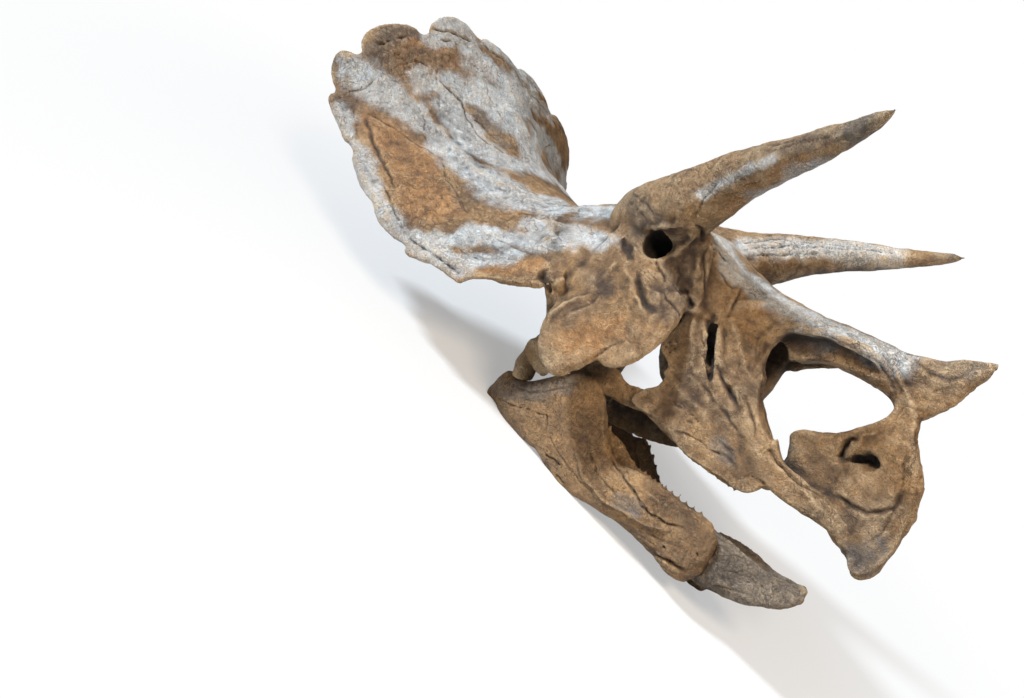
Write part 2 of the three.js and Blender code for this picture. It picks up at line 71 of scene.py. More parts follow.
# Carved lines: lengths in millimetres
LINE_BREADTH = 0.5  # share of its traced width that a shallow groove has
WIDE_BREADTH = 0.8  # and that a ridge has, or a groove as deep as DEEP
DEEP = 14
LINE_WANDER = 5.0  # how far a line strays from its trace
WANDER_GRAIN = 24
LONG_LINE = 60  # a line longer than this runs out at its ends
LINE_TAPER = 35
# First of the random tables that weather each piece
CRANIUM_SEED, RIGHT_JAW_SEED, LEFT_JAW_SEED, PREDENTARY_SEED = 1, 20, 30, 40
# How strongly each millimetre below or above its surroundings dirties or wears a point
DIRT_FINE, DIRT_BROAD, DIRT_CARVED = 0.2, 0.07, 0.1
WEAR_FINE, WEAR_BROAD = 0.25, 0.05
# Rays from each vertex, their start above it and their reach in metres, and how far they spread,
# to find how open to the light it is
OPEN_RAYS = 9
OPEN_START = 0.004
OPEN_REACH = 0.16
OPEN_SPREAD = 0.95
OPEN_SEED = 5

# The camera of the photograph, in the skull's frame
IMAGE = (1024, 698)
FOCAL_PIXELS = 690.0
CAMERA_AT = (1215.0, -1985.0, 370.0)
CAMERA_YAW, CAMERA_TILT, CAMERA_ROLL = np.radians([38.4, 9.0, 21.7])
SENSOR_WIDTH = 36.0

# Light and surroundings
SKULL_MIDDLE = (0.2, 0.0, 0.6)
FLOOR_HALF = 60.0
FLOOR_WHITE_FROM = 3.2  # distance from the skull at which the floor is plain white
FLOOR_WHITE_NEAR = 0.35  # and how white it is below the skull
FLOOR_COLOUR = (0.62, 0.62, 0.62)
KEY_LIGHT = (0.80, 0.90, 1.0)
FILL_LIGHT = (1.0, 0.82, 0.62)
SKY_LIGHT = (0.97, 0.98, 1.0)
WHITE = (1, 1, 1)

# Colours of the bone: its gold, light and dark parts, and what lies on it
BONE = ((0.56, 0.34, 0.145), (0.39, 0.222, 0.092), (0.15, 0.082, 0.036))
GREY_BONE = ((0.40, 0.33, 0.25), (0.27, 0.22, 0.17), (0.085, 0.066, 0.052))
OCHRE = (0.50, 0.245, 0.08)
# Dark brown stain, also painted shade inside the nostril and in the gap between the jaws
UMBER_AND_SHADE = (0.075, 0.044, 0.028)
GREY = (0.17, 0.165, 0.16)
SPECKLE = (0.06, 0.037, 0.021)
# Pale cool dusty coating, also a painted highlight where the cool key light falls on the tops
DUST_AND_HIGHLIGHT = (0.76, 0.84, 0.89)
WORN_EDGE = (0.60, 0.43, 0.25)
WRINKLE = (0.05, 0.03, 0.017)
GRIME = (0.03, 0.018, 0.011)
DEEP_SHADE = (0.012, 0.008, 0.006)

# Lines carved into the bone, each traced over the photograph in pixels, then
# half width and depth in millimetres; a negative depth raises a ridge
FRILL_LINES_CARVED = [
    ([(407, 237), (425, 249), (444, 262), (462, 276)], 9, 9),
    ([(383, 184), (393, 208), (404, 233)], 8, 7),
    ([(366, 118), (372, 140), (384, 164), (396, 190)], 14, 8),
    ([(366, 112), (384, 122), (400, 132), (420, 146), (442, 159)], 6, 5),
    ([(442, 159), (445, 176), (455, 190), (465, 208), (473, 219)], 6, 5),
    ([(473, 219), (490, 222), (505, 223), (520, 215), (540, 214)], 5, 3),
    ([(418, 226), (440, 223), (473, 219)], 5, 3),
    ([(415, 102), (425, 120), (424, 134), (430, 146)], 6, 5),
    ([(385, 70), (415, 60), (428, 66), (437, 78)], 5, 3),
    ([(437, 78), (450, 90), (462, 102), (468, 118), (476, 132), (488, 144), (511, 156)], 8, 9),
    ([(462, 102), (466, 80), (468, 70)], 5, 3),
    ([(470, 118), (482, 124), (488, 134)], 7, 6),
    ([(437, 66), (438, 90), (440, 110), (452, 112)], 5, 3),
    ([(487, 80), (488, 95), (496, 108), (506, 124), (511, 136), (511, 156)], 5, 4),
    ([(340, 98), (352, 92), (366, 88), (380, 76)], 6, 4),
    ([(375, 46), (386, 42), (400, 38), (412, 34)], 8, 8),
    ([(432, 29), (450, 32), (462, 38), (476, 42)], 8, 9),
    ([(482, 44), (492, 52), (506, 62), (518, 74)], 8, 9),
    ([(520, 80), (530, 92), (540, 102), (549, 113)], 8, 9),
    ([(551, 118), (560, 132), (565, 152)], 8, 8),
    ([(353, 106), (356, 130), (360, 146)], 5, 4),
    ([(376, 204), (392, 214), (404, 233)], 5, 4),
    ([(420, 107), (440, 130), (454, 149), (474, 168), (500, 184), (525, 194)], 26, -9),
    ([(340, 125), (356, 160), (376, 200), (396, 226)], 16, -6),
    ([(480, 232), (500, 240), (520, 250), (540, 256)], 6, 3),
    ([(455, 246), (470, 256), (488, 262)], 6, 3),
]
FACE_LINES_CARVED = [
    ([(606, 232), (613, 238), (619, 245), (618, 258)], 7, -6),
    ([(622, 243), (628, 250), (632, 260)], 15, 16),
    ([(546, 214), (556, 232), (566, 246)], 6, 3),
    ([(580, 204), (578, 226), (590, 240)], 6, 3),
    ([(656, 263), (661, 273), (666, 284)], 8, 9),
    ([(639, 276), (641, 293), (647, 304), (653, 313)], 12, 22),
    ([(648, 284), (662, 294), (674, 306), (684, 320)], 7, 6),
    ([(662, 272), (672, 284), (684, 296)], 7, 5),
    ([(684, 290), (688, 298), (691, 307)], 9, 16),
    ([(697, 226), (703, 234), (701, 244)], 10, 18),
    ([(692, 228), (691, 238), (686, 246), (674, 255), (659, 263)], 10, -12),
    ([(698, 250), (699, 266), (695, 284), (693, 298)], 10, -8),
    ([(706, 246), (704, 262), (706, 282), (705, 300)], 8, 8),
    ([(676, 262), (680, 276), (678, 290)], 8, 6),
    ([(711, 318), (712, 334), (711, 350), (709, 362)], 14, 34),
    ([(717, 366), (724, 382), (732, 396), (740, 412)], 9, 16),
    ([(703, 330), (704, 350), (708, 372), (714, 394)], 7, 7),
    ([(695, 312), (693, 330), (692, 350), (696, 376)], 9, -7),
    ([(742, 286), (739, 296), (734, 306), (727, 318)], 8, 10),
    ([(713, 246), (720, 252), (727, 262)], 10, 12),
    ([(716, 270), (726, 280), (734, 290)], 8, 7),
    ([(727, 333), (727, 339)], 6, 10),
    ([(733, 318), (738, 340), (744, 362), (752, 386)], 9, -7),
    ([(745, 398), (754, 423), (757, 442)], 7, 8),
    ([(595, 289), (583, 298), (565, 304), (550, 316), (544, 330)], 10, -9),
    ([(600, 294), (588, 304), (568, 311), (556, 321)], 8, 5),
    ([(620, 258), (608, 272), (598, 284)], 10, -6),
    ([(626, 266), (632, 286), (640, 306), (652, 322)], 12, -6),
    ([(584, 364), (598, 354), (613, 344), (628, 338)], 6, 6),
    ([(666, 344), (671, 355)], 4, 8),
    ([(671, 342), (676, 353)], 4, 8),
    ([(676, 341), (680, 350)], 4, 8),
    ([(661, 350), (663, 358)], 4, 6),
    ([(634, 192), (648, 206), (658, 222)], 6, 4),
    ([(628, 200), (640, 212), (650, 224)], 6, 4),
    ([(692, 221), (698, 210), (704, 199), (714, 187), (726, 176)], 8, 6),
    ([(845, 143), (858, 134), (869, 122), (886, 112)], 5, -5),
    ([(843, 150), (856, 142), (870, 130)], 4, 4),
    ([(760, 152), (800, 143), (840, 134)], 5, 3),
    ([(740, 190), (780, 172), (820, 156)], 5, 3),
    ([(738, 243), (780, 240), (830, 243), (880, 249)], 6, 6),
    ([(745, 249), (790, 246), (850, 248), (905, 254)], 6, 6),
    ([(750, 256), (790, 254), (840, 253)], 7, 7),
    ([(760, 146), (790, 141), (818, 140)], 5, 4),
    ([(649, 229), (663, 226), (686, 226)], 12, -14),
    ([(543, 274), (549, 281), (547, 293)], 14, 22),
    ([(700, 190), (740, 176), (790, 160)], 5, 3),
]
SNOUT_LINES_CARVED = [
    ([(816, 333), (850, 346), (876, 361), (893, 382), (896, 397)], 7, 7),
    ([(762, 340), (776, 328), (796, 326), (824, 330), (856, 342), (880, 356), (898, 380)], 9, -6),
    ([(891, 356), (901, 380), (912, 404), (915, 419)], 9, -8),
    ([(883, 352), (893, 372), (903, 394)], 7, 5),
    ([(912, 357), (930, 372), (950, 378), (975, 374)], 12, 5),
    ([(920, 396), (940, 390), (962, 382)], 8, 4),
    ([(839, 455), (845, 445), (855, 437)], 8, 28),
    ([(843, 460), (856, 459), (868, 459), (880, 468)], 9, 30),
    ([(857, 446), (866, 436), (880, 430)], 6, -7),
    ([(832, 494), (850, 506), (868, 514), (893, 509), (910, 488)], 13, 9),
    ([(790, 470), (808, 486), (826, 500)], 10, 8),
    ([(756, 452), (779, 470), (805, 492), (830, 520)], 9, -6),
    ([(772, 452), (780, 464), (794, 478), (811, 489)], 9, 22),
    ([(846, 566), (842, 552), (836, 538)], 8, -5),
    ([(900, 440), (905, 470), (900, 500), (884, 530)], 8, 4),
    ([(868, 545), (880, 535), (896, 515)], 7, 4),
]
MAXILLA_LINES_CARVED = [
    ([(671, 428), (690, 436), (708, 447), (724, 456), (740, 470)], 7, 8),
    ([(661, 381), (652, 386), (642, 388), (635, 390)], 9, -6),
    ([(664, 366), (676, 384), (696, 406), (716, 430)], 12, -5),
    ([(700, 380), (716, 402), (732, 424), (748, 444)], 8, 6),
    ([(720, 440), (728, 450), (736, 462)], 12, 4),
    ([(676, 404), (690, 410)], 6, 5), ([(690, 414), (700, 424)], 6, 5), ([(680, 418), (694, 424)], 5, 4),
    ([(744, 476), (756, 478), (766, 486)], 8, 6),
]
JAW_LINES_CARVED = [
    ([(495, 397), (506, 402), (517, 406), (536, 413), (546, 416), (548, 425), (546, 433)], 5, 7),
    ([(546, 434), (558, 452), (571, 471), (584, 486), (596, 500)], 6, 5),
    ([(547, 455), (554, 461), (561, 467)], 8, 8),
    ([(556, 476), (566, 484)], 8, 6),
    ([(578, 456), (583, 476), (594, 491), (608, 503), (621, 510), (645, 523), (675, 534)], 9, -9),
    ([(590, 448), (596, 470), (606, 486), (622, 500)], 8, 6),
    ([(611, 456), (619, 471), (630, 487), (640, 502), (652, 516), (668, 525), (684, 528)], 8, 12),
    ([(634, 482), (646, 492), (660, 502), (680, 514)], 10, -6),
    ([(510, 384), (530, 392), (556, 390), (578, 384)], 8, 4),
    ([(552, 382), (560, 383)], 5, 7),
    ([(520, 400), (540, 402), (562, 402)], 6, 4),
    ([(664, 547), (666, 548)], 6, 10), ([(647, 508), (649, 509)], 5, 8), ([(697, 554), (698, 558)], 5, 8),
    ([(654, 554), (669, 563), (688, 573)], 7, 14),
    ([(640, 530), (660, 540), (684, 548)], 8, 4),
    ([(600, 390), (602, 410), (602, 432), (606, 450)], 8, -5),
]
PREDENTARY_LINES_CARVED = [
    ([(712, 522), (724, 530), (742, 540), (756, 552)], 5, 4),
    ([(706, 530), (722, 540), (738, 548)], 5, 4),
    ([(718, 556), (736, 556), (752, 562)], 5, 4),
    ([(716, 570), (738, 572), (760, 584)], 6, 4),
    ([(704, 582), (730, 590), (756, 596)], 6, 4),
    ([(762, 586), (763, 588)], 5, 7), ([(768, 594), (769, 596)], 5, 7), ([(776, 590), (777, 592)], 5, 7),
    ([(783, 596), (784, 598)], 5, 7), ([(790, 590), (791, 592)], 4, 6), ([(773, 582), (774, 584)], 4, 6),
]
# Stains, partly painted highlight and shade: lines in pixels, each with its half width in millimetres
STAINS = {
    # Pale dusty coating, and painted highlight on the frill, the top of the nose and the far horn, which face
    # the light
    "pale": [
        ([(340, 110), (350, 140), (366, 180), (384, 215), (405, 240), (440, 255), (470, 272)], 40),
        ([(350, 70), (375, 90), (405, 110), (430, 130), (455, 155), (490, 180), (525, 195),
          (560, 215)], 55),
        ([(433, 22), (465, 26), (500, 50), (530, 85), (556, 125)], 34),
        ([(440, 105), (455, 130), (480, 155)], 45),
        ([(520, 200), (560, 210), (612, 210)], 60),
        ([(530, 225), (570, 235), (612, 245)], 40),
        ([(495, 160), (530, 165), (550, 175)], 45),
        ([(470, 55), (505, 80), (530, 115), (548, 150)], 75),
        ([(445, 90), (460, 120), (490, 160)], 60),
        ([(520, 100), (545, 140), (560, 165)], 60),
        ([(480, 100), (520, 130), (545, 170)], 55),
        ([(500, 188), (535, 198), (560, 201)], 50),
        ([(360, 75), (400, 95), (440, 140), (480, 180), (530, 205)], 60),
        ([(400, 240), (440, 240), (480, 235), (540, 240), (610, 240)], 42),
        ([(420, 255), (470, 262), (520, 255)], 34),
        ([(700, 196), (730, 178), (780, 155)], 12),
        ([(735, 246), (760, 247), (790, 247), (850, 250), (905, 254)], 42),
        ([(726, 254), (745, 280), (780, 299), (820, 320), (860, 338), (900, 356)], 46),
        ([(720, 240), (732, 262), (752, 284)], 34),
        ([(735, 275), (760, 288)], 30),
    ],
    "ochre": [
        ([(377, 125), (392, 150), (404, 180), (420, 208), (450, 212)], 56),
        ([(384, 128), (415, 150), (430, 180), (446, 205)], 46),
        ([(405, 40), (425, 42), (450, 50)], 30),
        ([(454, 275), (500, 268), (545, 262)], 24),
        ([(470, 60), (500, 85)], 26),
        ([(725, 215), (760, 185), (800, 165), (840, 145)], 30),
        ([(570, 345), (620, 325)], 40),
    ],
    "umber_and_shade": [
        ([(375, 50), (392, 30), (420, 30)], 40),
        ([(460, 235), (500, 240), (530, 245)], 40),
        ([(628, 196), (640, 222), (630, 250)], 36),
        ([(596, 280), (612, 290)], 30),
        ([(760, 150), (800, 142), (850, 128), (892, 110)], 22),
        ([(760, 279), (800, 273), (850, 268), (900, 266), (955, 263)], 34),
        ([(912, 370), (935, 378), (950, 385)], 34),
        ([(840, 520), (870, 520), (900, 505)], 34),
        ([(640, 210), (690, 250), (690, 300), (660, 300)], 60),
        # Painted shade on the shadowed inner wall of the nostril
        ([(800, 342), (770, 350), (764, 380), (766, 420)], 60),
        # Painted shade on the far jaw, in the shadowed gap between the jaws
        ([(612, 400), (640, 416), (668, 432)], 34),
    ],
    "grey": [
        ([(450, 80), (470, 100), (490, 125), (505, 145)], 40),
        ([(500, 85), (520, 110), (540, 140)], 50),
        ([(850, 138), (870, 126), (892, 112)], 36),
        ([(950, 366), (975, 364), (997, 362)], 40),
        ([(850, 560), (865, 560), (885, 540)], 40),
        ([(720, 445), (732, 460)], 26),
        ([(495, 385), (520, 392), (570, 385)], 36),
        ([(620, 500), (640, 515)], 24),
    ],
}


# Curves and lofts

def smoothstep(x, low, high):
    """0 below low, 1 above high, and smooth between."""
    t = np.clip((np.asarray(x, float) - low) / (high - low), 0, 1)
    return t * t * (3 - 2 * t)


def spline(points, t):
    """A centripetal Catmull-Rom curve through points, at each t from 0 to 1."""
    points = np.asarray(points, float)
    t = np.asarray(t, float)
    ends = np.vstack([2 * points[0] - points[1], points, 2 * points[-1] - points[-2]])
    place = t * (len(points) - 1)
    k = np.clip(np.floor(place).astype(int), 0, len(points) - 2)
    w = (place - k)[:, None]
    p0, p1, p2, p3 = (ends[k + i] for i in range(4))
    gap = [np.linalg.norm(b - a, axis=1) ** 0.5 for a, b in ((p0, p1), (p1, p2), (p2, p3))]
    mid = np.where(gap[1] < 1e-4, 1.0, gap[1])
    first = np.where(gap[0] < 1e-4, mid, gap[0])[:, None]
    last = np.where(gap[2] < 1e-4, mid, gap[2])[:, None]
    mid = mid[:, None]
    out = ((p1 - p0) / first - (p2 - p0) / (first + mid) + (p2 - p1) / mid) * mid
    into = ((p2 - p1) / mid - (p3 - p1) / (mid + last) + (p3 - p2) / last) * mid
    return p1 + out * w + (3 * (p2 - p1) - 2 * out - into) * w**2 + (2 * (p1 - p2) + out + into) * w**3


def unit(v):
    """Vectors brought to length 1."""
    v = np.asarray(v, float)
    return v / np.maximum(np.linalg.norm(v, axis=-1, keepdims=True), 1e-9)


def skin(rings):
    """Points and faces of a closed skin over rings of points."""
    rings = np.asarray(rings, float)
    rows, count = rings.shape[:2]
    points = np.vstack([rings.reshape(-1, 3), rings[0].mean(0), rings[-1].mean(0)])
    j = np.arange(count)
    nxt = (j + 1) % count
    faces = []
    for i in range(rows - 1):
        at = i * count
        faces += np.c_[at + j, at + nxt, at + count + nxt, at + count + j].tolist()
    last = (rows - 1) * count
    faces += [[len(points) - 2, b, a] for a, b in zip(j.tolist(), nxt.tolist())]
    faces += [[len(points) - 1, last + a, last + b] for a, b in zip(j.tolist(), nxt.tolist())]
    return points, faces


def limb(side, stations, sides=28, steps=7, flat=(0, 1, 0), across=None, grow=0.0):
    """A bone of oval section through stations [x, side, z, half breadth, half thickness]."""
    s = np.asarray(stations, float)
    path = s[:, :3] * (1, side, 1)
    sizes = np.c_[s[:, 3:5], np.zeros(len(s))]
    t = np.linspace(0, 1, (len(s) - 1) * steps + 1)
    centre = spline(path, t)
    tangent = unit(spline(path, np.minimum(t + 1e-3, 1)) - spline(path, np.maximum(t - 1e-3, 0)))
    if across is not None:
        tangent = np.tile(np.asarray(across, float), (len(t), 1))
    size = spline(sizes, t)
    broad = np.array([flat[0], side * flat[1], flat[2]], float)
    u = unit(broad - tangent * (tangent @ broad)[:, None])
    v = np.cross(tangent, u)
    angle = 2 * np.pi * np.arange(sides) / sides
    rings = (centre[:, None]
             + u[:, None] * ((size[:, 0] + grow)[:, None] * np.cos(angle))[..., None]
             + v[:, None] * ((size[:, 1] + grow)[:, None] * np.sin(angle))[..., None])
    return skin(rings)


def closed_outline(outline, steps):
    """A smooth closed outline through corner points."""
    p = np.asarray(outline, float)
    p = np.c_[p, np.zeros(len(p))]
    wrapped = np.vstack([p[-2:], p, p[:3]])
    t = np.linspace(2, 2 + len(p), len(p) * steps, endpoint=False) / (len(wrapped) - 1)
    return spline(wrapped, t)[:, :2]


def plate(side, outline, near, far, toe=0.0, hinge=0.0):
    """A plate cut to an outline of [x, z] points, from near to far beside the midline."""
    edge = closed_outline(outline, 4)
    count = len(edge)

    def layer(out):
        return np.c_[edge[:, 0], side * (out - toe * (edge[:, 0] - hinge)), edge[:, 1]]

    points = np.vstack([layer(near), layer(far)])
    faces = [[a, (a + 1) % count, count + (a + 1) % count, count + a] for a in range(count)]
    faces += [list(range(count))[::-1], list(range(count, 2 * count))]
    return points, faces


def oval(side, centre, half):
    """An oval lump or hollow."""
    x, out, z = centre
    rows, blunt = 24, 0.02
    turn = np.linspace(blunt, np.pi - blunt, rows)
    angle = np.pi * np.arange(2 * rows) / rows
    rings = np.stack([np.stack([x + half[0] * np.sin(a) * np.cos(angle),
                                side * out + half[1] * np.sin(a) * np.sin(angle),
                                np.full(len(angle), z + half[2] * np.cos(a))], -1) for a in turn])
    return skin(rings)


# The bones

# Lines over the top of the frill and skull roof, each from the brow back to the frill's edge,
# from the midline outwards to the free lower edge of the squamosal
FRILL_LINES = np.array([
    [[100, 0, 602], [-90, 0, 590], [-290, 0, 536], [-520, 0, 606], [-760, 0, 832], [-985, 0, 1018]],
    [[90, 80, 600], [-90, 90, 578], [-290, 110, 524], [-520, 130, 590], [-760, 165, 760], [-972, 200, 1002]],
    [[70, 150, 570], [-85, 180, 522], [-280, 215, 484], [-510, 250, 555], [-745, 300, 655], [-960, 384, 912]],
    [[50, 200, 515], [-80, 250, 462], [-270, 300, 432], [-500, 360, 478], [-730, 430, 575], [-975, 602, 741]],
    [[35, 240, 455], [-75, 300, 412], [-255, 360, 378], [-480, 440, 396], [-700, 520, 455], [-973, 646, 590]],
    [[20, 285, 400], [-75, 345, 362], [-240, 405, 328], [-440, 485, 330], [-620, 560, 370], [-799, 625, 425]],
    [[5, 325, 345], [-75, 385, 312], [-225, 440, 282], [-390, 515, 275], [-510, 570, 282], [-623, 606, 287]],
    [[-5, 362, 295], [-75, 420, 264], [-200, 470, 244], [-310, 528, 232], [-380, 556, 226], [-438, 581, 211]],
    [[-12, 392, 268], [-70, 436, 244], [-140, 472, 226], [-180, 490, 208], [-210, 502, 194],
     [-236, 514, 168]],
], float)
OUTER = len(FRILL_LINES) - 1
# How far forward and up the left rim is pressed at the end of each line
LEFT_RIM_PUSH = [0, -12, 8, 38, 6, 0, 0, 0, 0]
LEFT_FRILL_LINES = FRILL_LINES.copy()
LEFT_FRILL_LINES[:, -1, 0] += LEFT_RIM_PUSH
LEFT_FRILL_LINES[:, -1, 2] += LEFT_RIM_PUSH
# Ends of the frill-edge bones along that edge, counted in frill lines from the midline
LOBE_ENDS = [-0.6, 0.6, 2, 3, 4, 5, 6, 7, 7.5]


def frill_points(back, out):
    """The frill's upper surface at one place from brow to edge and many places from side to side."""
    right = np.array([spline(line, [back])[0] for line in FRILL_LINES])
    left = np.array([spline(line, [back])[0] for line in LEFT_FRILL_LINES])
    both = np.vstack([right[:0:-1] * (1, -1, 1), left])
    return spline(both, (np.asarray(out, float) / OUTER + 1) / 2)


def frill():
    """The frill and skull roof between both free edges, as one thick plate."""
    rows, columns = 110, 200
    out = np.linspace(-OUTER, OUTER, columns + 1)
    top = np.array([frill_points(i / rows, out) for i in range(rows + 1)])
    normal = unit(np.cross(np.gradient(top, axis=1), np.gradient(top, axis=0)))
    normal *= np.where(normal[..., 2:] < 0, -1, 1)
    thick = np.linspace(FRILL_THICK, FRILL_RIM, rows + 1)[:, None, None]
    points = np.vstack([top.reshape(-1, 3), (top - normal * thick).reshape(-1, 3)])
    half = top.shape[0] * top.shape[1]
    index = np.arange(half).reshape(rows + 1, columns + 1)
    a, b, c, d = index[:-1, :-1], index[:-1, 1:], index[1:, 1:], index[1:, :-1]
    quads = np.stack([a, b, c, d], -1).reshape(-1, 4)
    faces = quads.tolist() + (quads[:, ::-1] + half).tolist()
    rim = np.r_[index[0, :], index[1:, -1], index[-1, -2::-1], index[-2:0:-1, 0]]
    nxt = np.roll(rim, -1)
    faces += np.c_[rim, rim + half, nxt + half, nxt].tolist()
    return points, faces


def lobe(start, end):
    """One bone of the frill's scalloped edge, from one place along the edge to another."""
    steps, sides = 14, 24
    inset = 0.06  # share of its breadth left free at each end
    root = 14  # how far inside the frill's edge its middle lies
    blunt = 0.42  # the smaller, the squarer its outline
    share = np.arange(steps + 1) / steps
    at = start + (end - start) * (inset + (1 - 2 * inset) * share)
    swell = np.maximum(0.04, 1 - (2 * share - 1) ** 2) ** blunt
    edge = frill_points(1, at)
    outward = unit(edge - frill_points(0.94, at))
    along = unit(frill_points(1, np.minimum(OUTER, at + 0.1)) - frill_points(1, np.maximum(-OUTER, at - 0.1)))
    normal = unit(np.cross(outward, along))
    normal *= np.where(normal[:, 2:] < 0, -1, 1)
    centre = edge - outward * root - normal * FRILL_RIM / 2
    front, mid = smoothstep(np.abs(at), 3, 6), 1 - smoothstep(np.abs(at), 0.5, 0.9)
    reach = LOBE_OUT + (LOBE_OUT_FRONT - LOBE_OUT) * front + (LOBE_OUT_MID - LOBE_OUT) * mid + root
    angle = 2 * np.pi * np.arange(sides) / sides
    rings = (centre[:, None]
             + outward[:, None] * ((reach * swell)[:, None] * np.cos(angle))[..., None]
             + normal[:, None] * ((LOBE_THICK * (0.5 + 0.5 * swell))[:, None] * np.sin(angle))[..., None])
    return skin(rings)


def frill_edge():
    lobes = [lobe(LOBE_ENDS[0], LOBE_ENDS[1])]
    for a, b in zip(LOBE_ENDS[1:-1], LOBE_ENDS[2:]):
        lobes += [lobe(a, b), lobe(-b, -a)]
    return lobes


def brow_horn(side):
    sag = HORN_SAG if side > 0 else 0
    return limb(side, [
        [10, 150, 516, 76, 70],
        [75, 182, 560 - 0.3 * sag, 92, 88],
        [160, 214, 585 - 0.7 * sag, 97, 100],
        [258, 262, 629 - 0.88 * sag, 89, 93],
        [390, 335, 712 - sag, 66, 64],
        [516, 412, 757 - 0.86 * sag, 49, 47],
        [641, 500, 797 - 0.63 * sag, 30, 28],
        [722, 568, 827 - 0.4 * sag, 18, 17],
        [754, 600, 841 - 0.3 * sag, 4, 4],
    ], sides=40)


# Sections across the nose from the brow to the tip of the nose horn:
# x, top, [side, z] down the outside, bottom
NOSE_SECTIONS = [
    (40, 600, [110, 588], [168, 540], [150, 470], [90, 400], 380),
    (130, 602, [130, 590], [188, 548], [170, 470], [100, 390], 370),
    (215, 594, [120, 585], [195, 535], [182, 450], [110, 350], 330),
    (284, 575, [76, 567], [165, 527], [186, 440], [120, 325], 310),
    (360, 536, [60, 527], [140, 480], [172, 390], [110, 305], 290),
    (457, 498, [48, 488], [112, 450], [146, 360], [90, 275], 268),
    (533, 484, [45, 476], [96, 450], [120, 385], [64, 290], 280),
    (590, 474, [43, 468], [88, 445], [108, 412], [52, 322], 318),
    (669, 468, [40, 462], [76, 447], [97, 422], [48, 358], 350),
    (744, 464, [32, 458], [62, 445], [86, 420], [44, 360], 350),
    (800, 459, [28, 453], [52, 440], [72, 412], [36, 350], 343),
    (850, 456, [22, 449], [42, 435], [56, 400], [30, 340], 330),
    (885, 462, [20, 455], [36, 437], [45, 390], [30, 322], 298),
    (918, 467, [18, 459], [34, 437], [40, 388], [26, 314], 298),
    (950, 481, [15, 472], [28, 447], [32, 405], [20, 336], 322),
    (984, 491, [12, 483], [21, 462], [22, 432], [12, 384], 373),
    (1010, 500, [8, 494], [13, 482], [13, 466], [7, 442], 437),
    (1028, 506, [3, 504], [5, 501], [5, 498], [3, 496], 494),
]


def nose():
    rings = []
    for x, top, *flank, bottom in NOSE_SECTIONS:
        left = [[x, out, z] for out, z in flank]
        right = [[x, -out, z] for out, z in reversed(flank)]
        rings.append([[x, 0, top], *left, [x, 0, bottom], *right])
    rings = np.array(rings, float)
    t = np.linspace(0, 1, (len(rings) - 1) * 6 + 1)
    fine = np.stack([spline(rings[:, j], t) for j in range(rings.shape[1])], 1)
    around = []
    for ring in fine:
        wrapped = np.vstack([ring[-2:], ring, ring[:3]])
        turn = np.linspace(2, 2 + len(ring), 5 * len(ring), endpoint=False) / (len(wrapped) - 1)
        around.append(spline(wrapped, turn))
    return skin(around)


def cheek(side):
    """The bone from the brow past the eye down to the tip of the cheek."""
    return limb(side, [
        [150, 190, 575, 118, 50],
        [160, 212, 490, 125, 48],
        [160, 238, 400, 146, 42],
        [168, 268, 310, 170, 34],
        [150, 306, 236, 160, 28],
        [114, 330, 196, 112, 27],
        [108, 345, 160, 108, 26],
        [110, 362, 110, 88, 28],
        [118, 372, 70, 58, 26],
        [128, 378, 42, 16, 12],
    ], sides=40, flat=(0.95, -0.31, 0))


def eye_rim(side):
    """The thickened ring of bone around the eye."""
    around, tube, bulge, flare = 40, 16, 0.32, 60
    points, faces = [], []
    for i in range(around):
        a = 2 * np.pi * i / around
        for j in range(tube):
            b = 2 * np.pi * j / tube
            x, z = (1 + bulge * np.cos(b)) * np.array([np.cos(a), np.sin(a)])
            points.append((ORBIT["x"] + x * (ORBIT["wide"] + 16),
                           side * (ORBIT["side"] + 14 - 0.25 * x * ORBIT["wide"] + bulge * np.sin(b) * flare),
                           ORBIT["z"] + z * (ORBIT["high"] + 16)))
            ni, nj = (i + 1) % around, (j + 1) % tube
            faces.append([i * tube + j, ni * tube + j, ni * tube + nj, i * tube + nj])
    return np.array(points), faces


def lacrimal(side):
    """The bone in front of the eye."""
    return limb(side, [
        [258, 192, 548, 54, 32],
        [290, 192, 470, 46, 26],
        [310, 188, 410, 38, 24],
        [330, 176, 345, 30, 20],
    ], flat=(1, -0.2, 0))


def quadrate(side, grow=0.0):
    """The column from the frill down to the jaw joint."""
    return limb(side, [
        [-130, 296, 400, 56, 24],
        [-72, 276, 300, 44, 20],
        [-44, 258, 190, 30, 18],
        [-46, 254, 110, 30, 18],
        [-66, 254, 55, 36, 23],
        [-82, 250, 5, 46, 29],
        [-82, 250, -50, 42, 26],
    ], grow=grow)


def quadratojugal():
    """The thin plate behind the right cheek, from the squamosal down to the jaw joint."""
    return limb(-1, [
        [-28, 362, 290, 46, 22],
        [-10, 332, 228, 34, 20],
        [-2, 308, 178, 40, 20],
        [4, 292, 128, 44, 20],
        [-4, 280, 85, 48, 20],
        [-34, 270, 40, 62, 22],
        [-50, 262, 20, 56, 22],
    ], flat=(1, 0, 0))


def braincase():
    """The braincase, down to the ball of the neck joint, and its wings."""
    box = limb(1, [
        [90, 0, 490, 118, 100],
        [-20, 0, 462, 112, 100],
        [-110, 0, 420, 92, 88],
        [-165, 0, 350, 52, 50],
        [-205, 0, 318, 44, 42],
        [-236, 0, 300, 22, 20],
    ])
    wings = [limb(side, [
        [-100, 40, 430, 70, 24],
        [-125, 160, 410, 64, 18],
        [-138, 260, 395, 60, 18],
        [-140, 330, 400, 48, 22],
    ], flat=(0, 0, 1)) for side in (-1, 1)]
    return [box, *wings]


